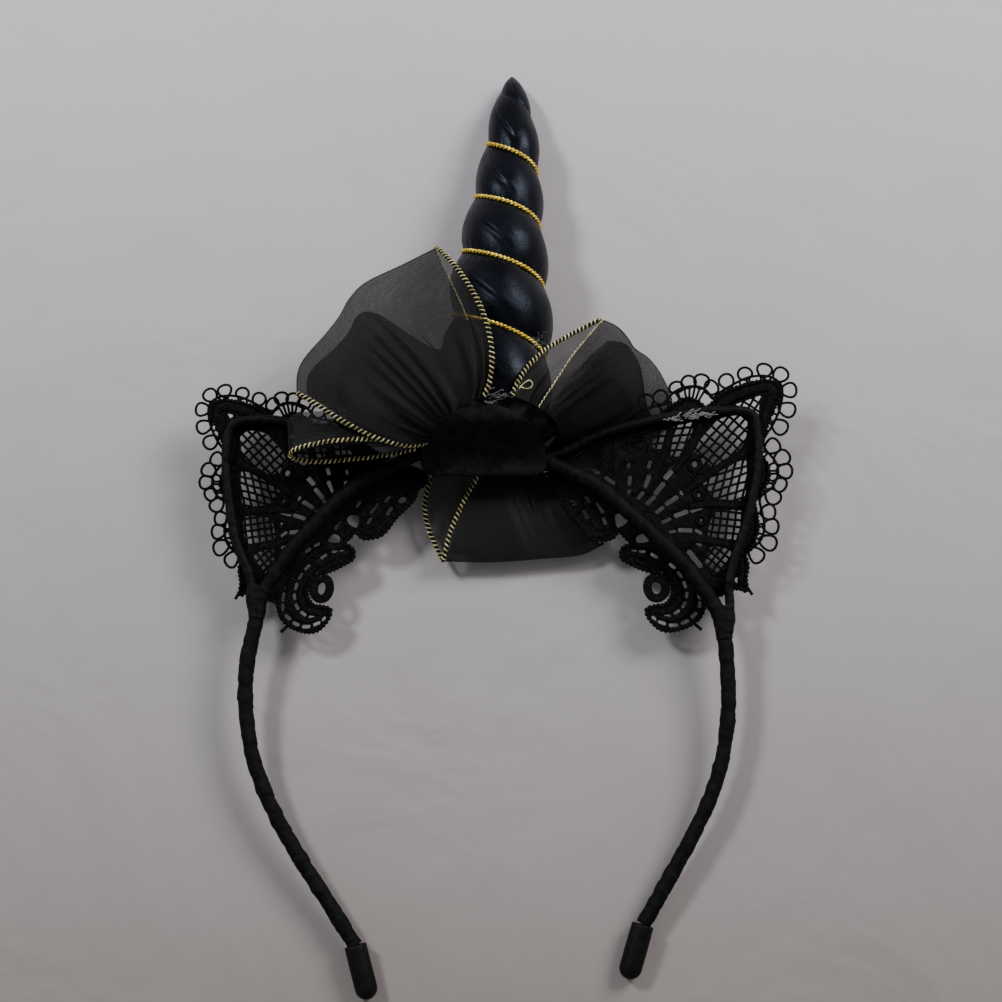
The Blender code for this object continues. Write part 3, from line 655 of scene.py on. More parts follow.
wound = cloth_material("wound_tape", (0.0014, 0.0014, 0.0016), (0.0060, 0.0060, 0.0065), 0.58, 0.00028, 0.6)
satin = cloth_material("satin_tape", (0.0018, 0.0018, 0.0020), (0.0075, 0.0075, 0.0080), 0.46, 0.00022, 0.5)
rubber = cloth_material(
    "soft_rubber", (0.0040, 0.0038, 0.0042), (0.0075, 0.0072, 0.0078), 0.50, 0.0005, 0.25)
felt = cloth_material("napped_felt", (0.0070, 0.0057, 0.0064), (0.0180, 0.0152, 0.0168), 0.95, 0.0005, 0.9)
thread = lace_material()
skin = skin_material()
gold = gold_material("twisted_gold", (0.52, 0.30, 0.015), (1.0, 0.78, 0.12), 0.26, 0.8)
cream = gold_material("edge_gold", (0.30, 0.24, 0.07), (0.88, 0.80, 0.42), 0.42, 0.35)
black_edge = cloth_material("edge_black", grey(0.002), grey(0.010), 0.6, 0.0002, 0.6)
organza = organza_material()
gathered = cloth_material("gathered_ribbon", grey(0.002), grey(0.010), 0.6, 0.0003, 0.6)
glue = glue_material()


# The band, its caps and the ear wires

def band_slope(y, end_y):
    share = (CROWN.y - y) / (CROWN.y - end_y)
    return CROWN.z + (CAP_RADIUS - CROWN.z) * share


def arm_points(rows, side):
    end_y = CROWN.y - rows[-1][1] * BAND_HEIGHT
    points = []
    for across, down in rows:
        y = CROWN.y - down * BAND_HEIGHT
        points.append(Vector((CROWN.x + side * across * BAND_HALF_WIDTH, y, band_slope(y, end_y))))
    return points


def ear_plane(y):
    mean_end = CROWN.y - 0.5 * (LEFT_ARM[-1][1] + RIGHT_ARM[-1][1]) * BAND_HEIGHT
    return band_slope(y, mean_end)


def wound_radius(path, radius, pitch, ridge, lump):
    """A radius that shows tape wound round a wire: a step at each turn and slow lumps."""
    step = (path[1] - path[0]).length

    def size(i, turn):
        phase = (i * step / pitch - turn / (2 * math.pi)) % 1.0
        lap = ridge * (1 - phase) ** 0.6 - ridge * 0.5
        place = path[i] * 1000 + Vector((math.cos(turn), math.sin(turn), 0)) * 0.6
        return radius + lap + noise.noise(place / 3.2) * lump + noise.noise(place / 0.9) * lump * 0.35

    return size


def build_band(left, right):
    path = even(smooth(left[:-1][::-1] + [CROWN] + right[:-1], CURVE_STEP), BAND_STEP)
    shape = Shape()
    size = wound_radius(path, BAND_RADIUS, pitch=0.0052, ridge=0.00022, lump=0.00030)
    add_tube(shape, path, size, 20)
    add_piece("wound_band", shape, wound, "wound_wire", "headband")
    for name, arm in (("left_tip_cap", left), ("right_tip_cap", right)):
        build_cap(name, arm[-2], arm[-1])


def build_cap(name, mouth, end):
    """A thin-lipped cap with a round end; its profile is radius and height in millimetres."""
    length = (end - mouth).length * 1000
    top = 3.1
    profile = [(2.2, 1.5), (2.35, 0.15), (2.6, -0.15), (2.95, -0.1), (3.08, 0.2), (3.06, 0.9),
               (top, 3.0), (3.12, length * 0.6), (top, length)]
    for degrees in (12, 24, 36, 48, 60, 72, 82, 89):
        lean = math.radians(degrees)
        profile.append((top * math.cos(lean), length + top * math.sin(lean)))
    along, side, normal = frames([mouth, end], up=UP)[0][1:]
    shape = Shape()
    sides = 40
    for radius, height in profile:
        middle = mouth + along * (height * MM)
        for turn in full_turn(sides):
            place = Vector((math.cos(turn), math.sin(turn), height / 4))
            size = (radius + noise.noise(place * 1.3 + mouth * 50) * 0.10) * MM
            shape.points.append(around(middle, side, normal, size, size, turn))
    join_rings(shape, 0, len(profile), sides)
    shape.faces.append(tuple((len(profile) - 1) * sides + k for k in range(sides)))
    add_piece("soft_" + name, shape, rubber, "cap_rubber", name)


def ear_foot(arm, side):
    """Where an ear wire leaves an arm, and the way outwards there."""
    along = (arm[EAR_FOOT + 1] - arm[EAR_FOOT - 1]).normalized()
    return arm[EAR_FOOT], Vector((-along.y, along.x, 0.0)) * side


def build_ear_wire(name, rows, arm, side):
    foot, outward = ear_foot(arm, side)
    points = [foot + outward * (BAND_RADIUS + EAR_WIRE_RADIUS + WIRE_GAP)]
    for across, up in rows:
        y = foot.y + up * EAR_HEIGHT
        points.append(Vector((CROWN.x + side * across * BAND_HALF_WIDTH, y, ear_plane(y))))
    drop = BAND_RADIUS - EAR_WIRE_RADIUS
    path = even([p - UP * drop for p in smooth(points, CURVE_STEP)], EAR_STEP)
    shape = Shape()
    size = wound_radius(path, EAR_WIRE_RADIUS, EAR_TAPE_PITCH, ridge=0.00012, lump=0.00016)
    add_tube(shape, path, size, 16)
    add_piece("wound_" + name, shape, satin, "wound_wire", name)


def build_binding(name, arm, side):
    """Tape wound round the band and the foot of an ear wire, widest at the foot."""
    foot, outward = ear_foot(arm, side)
    band = even(smooth(arm[EAR_FOOT - 1:EAR_FOOT + 2], CURVE_STEP), EAR_STEP)
    at = min(range(len(band)), key=lambda i: (band[i] - foot).length)
    path = band[max(at - 3, 0):at + 23]
    spread = [math.cos(0.5 * math.pi * i / (len(path) - 1)) ** 1.5 for i in range(len(path))]
    path = [place + outward * 0.0013 * share for place, share in zip(path, spread)]

    def radius(i, turn):
        wide = 0.00215 + 0.0002 * spread[i] + 0.0011 * spread[i] * abs(math.cos(turn)) ** 1.5
        lap = ((i * EAR_STEP / EAR_TAPE_PITCH - turn / (2 * math.pi)) % 1.0) ** 0.7
        return wide + 0.00020 * lap + wobble(path[i] + UP * turn * MM, 0.002, 0.00012)

    shape = Shape()
    add_tube(shape, path, radius, 24, False, UP)
    add_piece(name, shape, satin, "wound_wire")


# The lace

def lace_place(side, squeeze, x, y, z=0.0):
    """A place in an ear's lace, from millimetres in its plane. The left one is a little lower, and
    its inner end is longer and slimmer."""
    if side < 0:
        y = (y * 0.90 if y > 0 else y) - max(0.0, x) * 0.035
        inner = max(0.0, -x - 6)
        x -= inner / 6
        y = 18 - (18 - y) * (1 - 0.014 * inner)
    row_x = CROWN.x + side * (LACE_FAN[0] + squeeze * x * MM)
    row_y = CROWN.y + LACE_FAN[1] + y * MM
    sag = noise.noise(Vector((x, y, side * 9)) / 14) * 0.35
    return Vector((row_x, row_y, ear_plane(row_y) - LACE_DROP + (z + sag) * MM))


def flat_curve(points, step, closed=False):
    return smooth([Vector((x, y, 0)) for x, y in points], step, closed)


def line_spans(outline, origin, direction):
    """Where a straight line runs inside a closed outline."""
    across = Vector((-direction.y, direction.x, 0))
    hits = []
    for start, end in zip(outline, outline[1:] + outline[:1]):
        low, high = (start - origin).dot(across), (end - origin).dot(across)
        if (low < 0) != (high < 0):
            hits.append((start.lerp(end, low / (low - high)) - origin).dot(direction))
    hits.sort()
    return list(zip(hits[::2], hits[1::2]))


def net_threads(outline, angle, pitch):
    turn = math.radians(angle)
    direction = Vector((math.cos(turn), math.sin(turn), 0))
    across = Vector((-direction.y, direction.x, 0))
    offsets = [point.dot(across) for point in outline]
    paths = []
    offset = min(offsets) + 0.45 * pitch
    while offset < max(offsets):
        for low, high in line_spans(outline, across * offset, direction):
            if high - low < 0.6:
                continue
            pieces = max(2, round((high - low) / 1.2))
            path = []
            for k in range(pieces + 1):
                along = low - 0.4 + (high - low + 0.8) * k / pieces
                point = direction * along + across * offset
                point += across * noise.noise(point / 2.5 + Vector((0, 0, angle))) * 0.3
                path.append(point)
            paths.append(path)
        offset += pitch
    return paths


def slot_outline(x1, y1, x2, y2, half):
    along = Vector((x2 - x1, y2 - y1, 0)).normalized()
    side = Vector((-along.y, along.x, 0))
    start, end = Vector((x1, y1, 0)), Vector((x2, y2, 0))
    return [start - side * half, end - side * half, end + along * half * 0.6, end + side * half,
            start + side * half, start - along * half * 0.6]


def flat_oval(x, y, wide, high, sides):
    return [Vector((x + wide * math.cos(turn), y + high * math.sin(turn), 0)) for turn in full_turn(sides)]


def lace_outlines():
    """The lace's edge, then its panels' holes, and all of the outlines together."""
    border = flat_curve(LACE_OUTLINE, 0.8, True)
    holes = [flat_curve(panel[0], 1.2, True) for panel in LACE_PANELS]
    outlines = [border] + holes + [flat_curve(gap, 0.9, True) for gap in LACE_GAPS]
    for x1, y1, x2, y2 in LACE_SLOTS:
        length = math.hypot(x2 - x1, y2 - y1)
        outlines.append(slot_outline(x1, y1, x2, y2, 0.34 + 0.09 * min(length, 5)))
    outlines += [flat_oval(x, y, radius, 1.2 * radius, 10) for x, y, radius in LACE_EYES]
    return border, holes, outlines


def add_lace_body(shape, outlines, placed):
    """A flat body between the outlines, each point set down by the function that is given."""
    bm = bmesh.new()
    for outline in outlines:
        verts = [bm.verts.new(point) for point in outline]
        for start, end in zip(verts, verts[1:] + verts[:1]):
            bm.edges.new((start, end))
    bmesh.ops.triangle_fill(bm, edges=bm.edges[:], use_beauty=True)
    bmesh.ops.delete(bm, geom=[v for v in bm.verts if not v.link_faces], context="VERTS")
    made = bmesh.ops.extrude_face_region(bm, geom=bm.faces[:])
    for item in made["geom"]:
        if isinstance(item, bmesh.types.BMVert):
            item.co.z = LACE_THICKNESS
    bmesh.ops.recalc_face_normals(bm, faces=bm.faces[:])
    bm.verts.index_update()
    shape.points = [placed(vert.co, -LACE_THICKNESS / 2) for vert in bm.verts]
    shape.faces = [tuple(vert.index for vert in face.verts) for face in bm.faces]
    bm.free()


def picot(number, centre, base):
    """A small thread ring round a centre, drawn out to the line at its base."""
    out = (centre - base).normalized()
    across = Vector((-out.y, out.x, 0))
    reach = max((centre - base).length, 0.8)
    high = 2.15 + 0.2 * math.sin(number * 2.3)
    ring = []
    for turn in full_turn(18):
        wide = 2.10 - 0.45 * math.cos(turn) * (reach > 1.2)
        place = centre + out * (-math.cos(turn) * (high if math.cos(turn) < 0 else reach + 0.5))
        lift = UP * 0.25 * math.sin(turn + number)
        ring.append(place + across * (math.sin(turn) * wide) + lift)
    return ring


def nearest(path, place):
    return min(path, key=lambda point: (point - place).length)


def build_lace(name, side, squeeze):
    border, holes, outlines = lace_outlines()
    shape = Shape()

    def placed(point, lift):
        return lace_place(side, squeeze, point.x, point.y, point.z + lift)

    def cord(path, radius, sides=6, closed=False, lift=0.0, flat=1.0):
        places = [placed(point, lift) for point in path]
        add_tube(shape, places, radius if callable(radius) else radius * MM, sides, closed, UP, flat)

    def link(start, end, shortest):
        if (start - end).length > shortest:
            cord([start.lerp(end, k / 3) for k in range(4)], LINK_THREAD)

    add_lace_body(shape, outlines, placed)
    rim = even(border + border[:1], 0.24)[:-1]
    cord(rim, lambda i, turn: (0.46 + 0.36 * math.sin(math.pi * i / 5) ** 2) * MM, 8, True, 0.15)
    for hole in holes:
        cord(hole, 0.42, 6, True, 0.15)
    for gap in LACE_GAPS:
        cord(flat_curve(gap, 0.7, True), 0.35, 6, True, 0.1)
    for half, points in LACE_CORDS:
        cord(flat_curve(points, 0.8), half, 10, lift=0.25, flat=0.55)
    for outline, first, second, pitch_one, pitch_two in LACE_PANELS:
        edge = flat_curve(outline, 1.0, True)
        for path in net_threads(edge, first, pitch_one):
            cord(path, NET_THREAD, lift=0.05)
        for path in net_threads(edge, second, pitch_two):
            cord(path, NET_THREAD, lift=-0.05)
    for x, y, radius in LACE_EYES[:3]:
        cord(flat_oval(x, y, radius + 0.9, radius + 0.9, 14), 0.6, 8, True, 0.3)
    line = flat_curve(LACE_LINE, 0.8)
    cord(line, LINE_THREAD)
    for number, (x, y) in enumerate(LACE_PICOTS):
        centre = Vector((x, y, 0))
        base = nearest(line, centre)
        cord(picot(number, centre, base), PICOT_THREAD, 6, True, 0.1)
        link(nearest(border, base), base, 0.8)
    for place in line[3:-3:4]:
        link(nearest(border, place), place, 0.9)
    for tail in LACE_TAILS:
        cord(flat_curve(tail, 0.6), TAIL_THREAD)
    add_piece("corded_" + name, shape, thread, "lace", name)


# The horn and its cord

def horn_middle(along):
    return Vector((table_value(HORN_SECTIONS, 2, along) * HORN_RADIUS, HORN_BASE_Y + along * HORN_LENGTH,
                   table_value(HORN_SECTIONS, 3, along) * HORN_RADIUS))


def round_horn(middle, radius, turn):
    return middle + radius * Vector((math.cos(turn), 0.0, math.sin(turn)))


def crease_slant(fullness, turn):
    return CREASE_SLANT / HORN_LENGTH * fullness ** 2 * (1 - math.cos(turn))


def horn_turns(along, turn):
    fullness = table_value(HORN_SECTIONS, 1, along)
    return between_rows(CREASE_TURNS, 0, 1, along - crease_slant(fullness, turn)) - turn / (2 * math.pi)


def horn_point(along, turn):
    fullness = table_value(HORN_SECTIONS, 1, along)
    turns = horn_turns(along, turn)
    lobe = abs(math.sin(math.pi * turns)) ** 0.8
    radius = fullness * HORN_RADIUS * (1 - CREASE_DEPTH * (1 - lobe))
    # A slanting fold where the stuffed skin is drawn to the cord, and small puckers beside it
    share = turns % 1.0
    degrees = math.degrees(turn) % 360
    fold = share - 0.50 - (degrees - 108) / 150
    inside = max(0.0, 1 - ((degrees - 108) / 34) ** 2)
    ridge = math.exp(-(fold / 0.06) ** 2)
    groove = math.exp(-((fold + 0.10) / 0.06) ** 2)
    radius += 0.00026 * inside * (ridge - 1.1 * groove)
    pucker = math.exp(-(min(share, 1 - share) / 0.13) ** 2)
    radius += 0.00012 * pucker * math.sin(turn * 23 + 4 * math.sin(turn * 3)) * fullness
    middle = horn_middle(along)
    radius += wobble(round_horn(middle, radius, turn), 0.011, 0.00045)
    place = round_horn(middle, radius, turn)
    place.z = max(place.z, 0.0001)
    return place


def build_horn():
    sides, rings = 150, 400
    shape = Shape()
    for i in range(rings + 1):
        shape.points += [horn_point(i / rings, turn) for turn in full_turn(sides)]
    for i in range(rings):
        for k in range(sides):
            j = (k + 1) % sides
            shape.faces.append((i * sides + k, (i + 1) * sides + k, (i + 1) * sides + j, i * sides + j))
    shape.faces.append(tuple(range(sides)))
    shape.faces.append(tuple(rings * sides + k for k in reversed(range(sides))))
    piece = add_piece("stuffed_horn", shape, skin, "horn_skin", "horn")


def horn_cord_path():
    path = []
    steps = 64
    for index in range(-steps, steps * 5):
        turn = 2 * math.pi * index / steps
        along = between_rows(CREASE_TURNS, 1, 0, turn / (2 * math.pi))
        fullness = table_value(HORN_SECTIONS, 1, max(along, 0.0))
        along += crease_slant(fullness, turn)
        if CORD_SPAN[0] < along < CORD_SPAN[1]:
            middle = horn_middle(along)
            radius = table_value(HORN_SECTIONS, 1, along) * HORN_RADIUS * (1 - CREASE_DEPTH) + CORD_SEAT
            path.append(round_horn(middle, radius, turn))
    return path


def build_horn_cord():
    rows = frames(even(horn_cord_path(), 0.00030))
    shape = Shape()
    for strand in range(2):
        path = helix(rows, STRAND_OFFSET, STRAND_OFFSET, STRAND_PITCH, strand * math.pi)
        add_tube(shape, path, STRAND_RADIUS, 8)
    add_piece("twisted_horn_cord", shape, gold, "gold_cord", "horn_cord")


def build_horn_seam():
    """A short row of stitches that closes the skin on the lobes' upper side."""
    shape = Shape()
    for start, end, stitches in ((0.205, 0.300, 9), (0.425, 0.480, 5)):
        for k in range(stitches):
            along = part_way(start, end, k, stitches)
            turn = math.radians(97 - 30 * (along - start))
            low = horn_point(along, turn) - UP * STITCH_SINK
            high = horn_point(along + 0.006, turn) - UP * STITCH_SINK
            bow = [UP * STITCH_RISE * math.sin(math.pi * place / 3) for place in range(4)]
            add_tube(shape, [low.lerp(high, place / 3) + bow[place] for place in range(4)], STITCH_RADIUS)
    add_piece("horn_stitches", shape, black_edge, "horn_skin")


# The bow

def bow_middle():
    return horn_middle(0.0)


def root_point(loop, share):
    angle, radius, front = (a + (b - a) * share for a, b in zip(loop["near_root"], loop["far_root"]))
    turn = math.radians(angle)
    return bow_middle() + HORN_RADIUS * Vector((radius * math.cos(turn), front, radius * math.sin(turn)))


def loop_middle(loop, reach, share):
    root = root_point(loop, share)
    near = bow_middle() + RIBBON_WIDTH * Vector(loop["near_fold"])
    far = bow_middle() + RIBBON_WIDTH * Vector(loop["far_fold"])
    across = (far - near).normalized()
    outward = near.lerp(far, 0.5) - root_point(loop, 0.5)
    outward = (outward - across * outward.dot(across)).normalized()
    fold = near.lerp(far, share) + outward * table_value(loop["fold"], 1, share) * RIBBON_WIDTH
    swing = max(0.0, math.sin(math.pi * reach ** loop["peak"])) * RIBBON_WIDTH
    near_bulge, far_bulge = loop["bulge"]
    point = root.lerp(fold, reach)
    point += across * swing * (far_bulge * share ** 2 - near_bulge * (1 - share) ** 2)
    point.z += loop["arch"] * swing
    return point


def loop_normal(loop, reach, share):
    step = 0.02
    reach = min(max(reach, step), 1 - step)
    share = min(max(share, step), 1 - step)
    along = loop_middle(loop, reach + step, share) - loop_middle(loop, reach - step, share)
    across = loop_middle(loop, reach, share + step) - loop_middle(loop, reach, share - step)
    normal = along.cross(across).normalized()
    return normal if normal.dot(Vector(loop["outward"])) > 0 else -normal


def loop_point(loop, reach, share, side, swell_scale=1.0, seed=0.0, inner=False):
    """A place on a loop's low layer, side -1, or high layer, side 1, with its pleats."""
    near_skew, far_skew = loop["high_skew"] if side > 0 or inner else loop["low_skew"]
    share += (1 - reach) * (near_skew * (1 - share) - far_skew * share)
    full = loop["swell"][0] + (loop["swell"][1] - loop["swell"][0]) * share
    swell = table_value(LOOP_SECTION, 1, reach) if reach < 1 else 0.0
    lift = side * (0.0008 * (1 - reach) + full * swell * swell_scale * RIBBON_WIDTH)
    fan = share * 9.0 + 0.7 * math.sin(share * 11 + seed)
    slack = math.sin(math.pi * min(reach, 1.0))
    pleat = 0.00085 * (1 - reach) ** 1.8 * math.sin(2 * math.pi * fan + side)
    pleat += 0.00060 * slack * math.sin(2 * math.pi * (share * 2.2 + 0.4 * reach) + seed + side)
    point = loop_middle(loop, reach, share)
    offset = lift + pleat + wobble(point + UP * side * 0.02, 0.009, 0.0005 * slack)
    return point + loop_normal(loop, reach, share) * offset


def add_loop_sheet(label, loop, rows, fullness, columns, seed, *nodes):
    """A sheet from the knot to its fold and back; rows say how far out it folds at each share."""
    shape = Shape()
    weave = []
    half = 26
    stations = [(math.sin(0.5 * math.pi * k / half), -1) for k in range(half + 1)]
    stations += [(place, 1) for place, side in reversed(stations[:-1])]
    shares = [part_way(rows[0][0], rows[-1][0], k, columns) for k in range(columns + 1)]
    middle = columns // 2
    travelled = 0.0
    row = []
    for place, side in stations:
        scale = 1.0 if nodes else fullness * math.sqrt(1 - min(place, 1.0) ** 2)
        before = row
        row = []
        for share in shares:
            reach = place * table_value(rows, 1, share)
            row.append(loop_point(loop, reach, share, side, scale, seed, not nodes))
        if before:
            travelled += (row[middle] - before[middle]).length
        shape.points += row
        weave += [(RIBBON_WIDTH * share, travelled, 0.0) for share in shares]
    wide = columns + 1
    for i in range(len(stations) - 1):
        for k in range(columns):
            shape.faces.append((i * wide + k, i * wide + k + 1, (i + 1) * wide + k + 1, (i + 1) * wide + k))
    piece = add_piece(label, shape, organza, "organza", *nodes)
    layer = piece.data.attributes.new("weave", "FLOAT_VECTOR", "POINT")
    layer.data.foreach_set("vector", [value for place in weave for value in place])
    return piece


def add_fold_line(shape, loop, rows):
    """The pressed edge where a sheet turns back on itself."""
    path = []
    for k in range(61):
        share = part_way(rows[0][0], rows[-1][0], k, 60)
        path.append(loop_point(loop, table_value(rows, 1, share), share, 1, 0.0))
    add_tube(shape, even(path, FOLD_STEP), FOLD_RADIUS)


def add_crease(shape, loop, start, end, low, high):
    """A crease in the high layer, between two shares and two reaches."""
    path = [loop_point(loop, part_way(low, high, k, 40), part_way(start, end, k, 40), 1) for k in range(41)]
    add_tube(shape, even(path, FOLD_STEP), CREASE_RADIUS)


def edge_rows(loop, share, side):
    """The frames along one selvage of a loop's layer, with the cloth's own normal."""
    path = even([loop_point(loop, k / 60, share, side) for k in range(61)], EDGE_STEP)
    rows = []
    for i, place in enumerate(path):
        along = (path[min(i + 1, len(path) - 1)] - path[max(i - 1, 0)]).normalized()
        cross = along.cross(loop_normal(loop, i / len(path), share)).normalized()
        rows.append((place, along, cross, cross.cross(along)))
    return rows


def add_overlock(gold_shape, black_shape, rows):
    """A cord edge with a light thread whipped round it."""
    path = [row[0] for row in rows]
    add_tube(black_shape, path[::3] + [path[-1]], EDGE_RADIUS)
    path = []
    for i, (row, place) in enumerate(zip(rows, helix(rows, 1.0, 0.0, WHIP_PITCH))):
        reach = EDGE_REACH * (1 + 0.30 * noise.noise(row[0] / 0.0011))
        lift = math.sin(2 * math.pi * EDGE_STEP * i / WHIP_PITCH)
        path.append(row[0] + (place - row[0]) * reach + row[3] * EDGE_LIFT * lift)
    add_tube(gold_shape, path, WHIP_RADIUS, 5)
    add_tube(black_shape, helix(rows, EDGE_REACH * 0.9, 0.00034, WHIP_PITCH, math.pi), 0.00019, 5)


def add_edge_line(gold_shape, rows):
    add_tube(gold_shape, helix(rows, 0.00016, 0.00016, LINE_PITCH), LINE_RADIUS, 5)


def build_bow():
    gold_shape, black_shape, fold_shape = Shape(), Shape(), Shape()
    whole = [(0.0, 1.0), (1.0, 1.0)]
    for number, (name, loop) in enumerate(LOOPS.items()):
        outer = add_loop_sheet("sheer_" + name, loop, whole, 1.0, 72, number * 1.7, name)
        for count, (fullness, cut, rows) in enumerate(loop["inner"]):
            label = f"inner_{name}_{count}"
            add_loop_sheet(label, loop, rows, fullness, 36, number + 2.3 * count)
            add_fold_line(fold_shape, loop, rows)
        add_fold_line(fold_shape, loop, whole)
        for crease in loop["creases"]:
            add_crease(fold_shape, loop, *crease)
        for share, side, kind in loop["edges"]:
            rows = edge_rows(loop, share, side)
            if kind == "wide":
                add_overlock(gold_shape, black_shape, rows)
            else:
                add_edge_line(gold_shape, rows)
    add_piece("ribbon_edge_gold", gold_shape, cream, "organza")
    add_piece("ribbon_edge_black", black_shape, black_edge, "organza")
    add_piece("ribbon_fold_lines", fold_shape, organza, "organza")
    build_knot()


def build_knot():
    """The ribbon's gathers round the foot of the horn, behind the pad."""
    shape = Shape()
    rings, sides = 36, 160
    half_width, half_height = 0.0200, 0.0150
    middle = Vector((CROWN.x - 0.0003, HORN_BASE_Y + 0.0022, 0.0172))
    for i in range(rings + 1):
        lean = math.pi * i / rings
        for turn in full_turn(sides):
            gather = 1 + 0.045 * math.sin(turn * 17 + 2.2 * math.sin(turn * 3) + 1.5 * lean)
            gather += 0.05 * noise.noise(Vector((math.cos(turn), math.sin(turn), lean)) * 2.2)
            across = math.sin(lean) ** 0.7 * gather
            depth = 0.0057 + (0.0019 * math.cos(turn) ** 4 if lean < math.pi / 2 else 0.0)
            shape.points.append(middle + Vector((
                half_width * across * math.cos(turn), -depth * math.cos(lean) * gather,
                half_height * across * math.sin(turn))))
    join_rings(shape, 0, rings + 1, sides)
    add_piece("gathered_knot", shape, gathered, "organza")


def build_loose_bits():
    """Dried glue strings by the pad and on the right ear, a thread loop and a little lint."""
    random.seed(GLUE_SEED)
    strings, lint = Shape(), Shape()
    patches = [
        (Vector((-0.0045, -0.0240, 0.0322)), Vector((0.0028, -0.0228, 0.0328)), 12, 0.0011),
        (Vector((0.0455, -0.0262, 0.0168)), Vector((0.0590, -0.0246, 0.0172)), 22, 0.0009),
    ]
    for start, end, count, spread in patches:
        along = (end - start).normalized()
        for _ in range(count):
            place = start.lerp(end, random.random())
            place += Vector((0, random.uniform(-spread, spread), random.uniform(-0.0004, 0.0002)))
            path = [place]
            for _ in range(6):
                bend = Vector((0, random.uniform(-0.0005, 0.0005), random.uniform(-0.00015, 0.00015)))
                path.append(path[-1] + along * random.uniform(0.0003, 0.0007) + bend)
            add_tube(strings, path, random.uniform(0.00008, 0.00018), 5)
    for _ in range(26):
        place = Vector((0.0107, -0.0069, 0.0278)) + Vector([random.gauss(0, 0.0008) for _ in range(3)])
        lean = Vector([random.uniform(-1, 1) for _ in range(3)]).normalized() * 0.0008
        bend = Vector([random.uniform(-1, 1) for _ in range(3)]) * 0.0005
        path = [place, place + lean + bend, place + lean * 2, place + lean * 2.6 - bend]
        add_tube(lint, path, LINT_RADIUS, 3)
    turns = [(4.6, -23.4), (5.6, -21.8), (6.9, -20.2), (8.4, -19.2), (9.4, -19.9), (8.9, -21.2),
             (7.2, -21.5), (5.7, -20.6), (4.6, -19.6)]
    height = 33.0
    loop = [Vector((x, y, height + 0.3 * math.sin(k))) * MM for k, (x, y) in enumerate(turns)]
    threads = Shape()
    add_tube(threads, smooth(loop, 0.0004), LINE_RADIUS, 5)
    add_piece("dried_glue", strings, glue, "organza")
    add_piece("stray_thread", threads, cream, "organza")
    add_piece("lint", lint, glue, "horn_skin")


# The felt pad

def pad_point(back, across):
    width = table_value(PAD_SECTIONS, 2, back)
    half = width * PAD_WIDTH / 2
    return Vector((CROWN.x + PAD_SHIFT + across * half, HORN_BASE_Y - back * PAD_LENGTH,
                   CROWN.z + table_value(PAD_SECTIONS, 1, back) * PAD_LENGTH))


def add_nap(shape, roots):
    """Short fibres that stand on the first points of a shape."""
    for _ in range(900):
        place = shape.points[random.randrange(roots)]
        lean = Vector((random.uniform(-1, 1), random.uniform(-1, 1), random.uniform(0.0, 0.5)))
        lean.normalize()
        curl = Vector((random.uniform(-1, 1), random.uniform(-1, 1), 0)) * 0.0003
        length = random.uniform(0.0004, 0.0011)
        path = [place, place + lean * length * 0.5 + curl * 0.4, place + lean * length + curl]
        add_tube(shape, path, NAP_RADIUS, 3)


def build_felt():
    random.seed(NAP_SEED)
    shape = Shape()
    columns, rows = 60, 46
    wide = columns + 1
    half = (rows + 1) * wide
    out = Vector((0, -0.45, 0.9)).normalized()
    for side in (1, -1):
        for i in range(rows + 1):
            back = part_way(PAD_SECTIONS[0][0], PAD_SECTIONS[-1][0], i, rows)
            along = 2 * i / rows - 1
            for k in range(columns + 1):
                across = 2 * k / columns - 1
                full = math.sqrt(max(0.0, 1 - abs(across) ** 6)) * math.sqrt(max(0.0, 1 - abs(along) ** 8))
                point = pad_point(back, across)
                lift = (side * 0.00075 * full + wobble(point, 0.004, 0.0003)
                        + wobble(point, 0.0011, 0.00012))
                shape.points.append(point + out * lift)
    for i in range(rows):
        for k in range(columns):
            a = i * wide + k
            shape.faces.append((a, a + 1, a + wide + 1, a + wide))
            shape.faces.append((half + a, half + a + wide, half + a + wide + 1, half + a + 1))
    rim = list(range(wide)) + [i * wide + columns for i in range(1, rows + 1)]
    rim += [rows * wide + k for k in reversed(range(columns))]
    rim += [i * wide for i in reversed(range(1, rows))]
    for a, b in zip(rim, rim[1:] + rim[:1]):
        shape.faces.append((b, a, half + a, half + b))
    add_nap(shape, half)
    piece = add_piece("napped_pad", shape, felt, "felt", "felt_pad")


# The paper, the lights and the camera

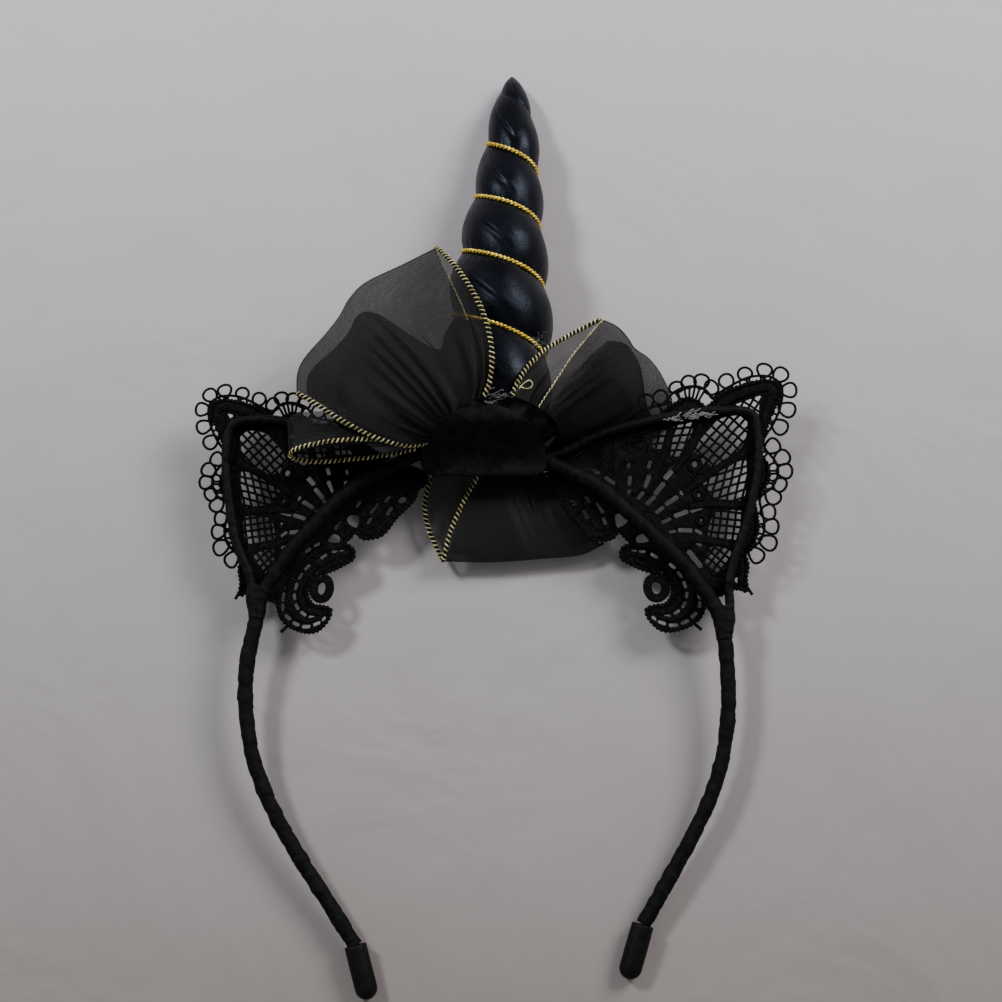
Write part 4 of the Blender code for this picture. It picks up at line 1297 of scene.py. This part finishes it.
def build_floor():
    half = 3.0
    corners = [(-half, -half, 0), (half, -half, 0), (half, half, 0), (-half, half, 0)]
    mesh = bpy.data.meshes.new("paper")
    mesh.from_pydata(corners, [], [(0, 1, 2, 3)])
    mesh.materials.append(paper_material())
    floor = add_object("paper", mesh)


def aim(thing, place, target):
    thing.location = place
    thing.rotation_euler = (target - place).to_track_quat("-Z", "Y").to_euler()


def add_light(name, place, size, power, colour):
    data = bpy.data.lights.new(name, "AREA")
    data.shape = "DISK"
    data.size = size
    data.energy = power
    data.color = colour
    aim(add_object(name, data), Vector(place), Vector((0, 0, 0)))


def add_world(colour, strength):
    world = bpy.data.worlds.new("soft_room")
    world.use_nodes = True
    background = world.node_tree.nodes["Background"]
    background.inputs["Color"].default_value = (*colour, 1)
    background.inputs["Strength"].default_value = strength
    bpy.context.scene.world = world


def add_camera(target, elevation, distance, lens):
    data = bpy.data.cameras.new("camera")
    data.sensor_width = 36.0
    data.lens = lens
    data.clip_start = 0.01
    camera = add_object("camera", data)
    back = Vector((0, -math.cos(elevation), math.sin(elevation)))
    aim(camera, target + distance * back, target)
    bpy.context.scene.camera = camera


def build_stage():
    build_floor()
    add_light("key", (0.78, 0.58, 0.78), size=0.60, power=14.3, colour=(1.0, 0.985, 0.975))
    add_light("fill", (-0.72, 0.50, 0.92), size=0.24, power=10.2, colour=(0.96, 0.98, 1.0))
    add_world(colour=(0.92, 0.94, 1.0), strength=0.30)
    add_camera(Vector((0.0007, -0.048, 0.008)), elevation=math.radians(78), distance=0.620, lens=78.16)


left_arm = arm_points(LEFT_ARM, -1)
right_arm = arm_points(RIGHT_ARM, 1)
build_stage()
build_band(left_arm, right_arm)
build_ear_wire("left_ear_wire", LEFT_EAR, left_arm, -1)
build_ear_wire("right_ear_wire", RIGHT_EAR, right_arm, 1)
build_binding("left_ear_tape", left_arm, -1)
build_binding("right_ear_tape", right_arm, 1)
build_lace("left_ear_lace", -1, 0.90)
build_lace("right_ear_lace", 1, 1.0)
build_horn()
build_horn_cord()
build_horn_seam()
build_bow()
build_felt()
build_loose_bits()
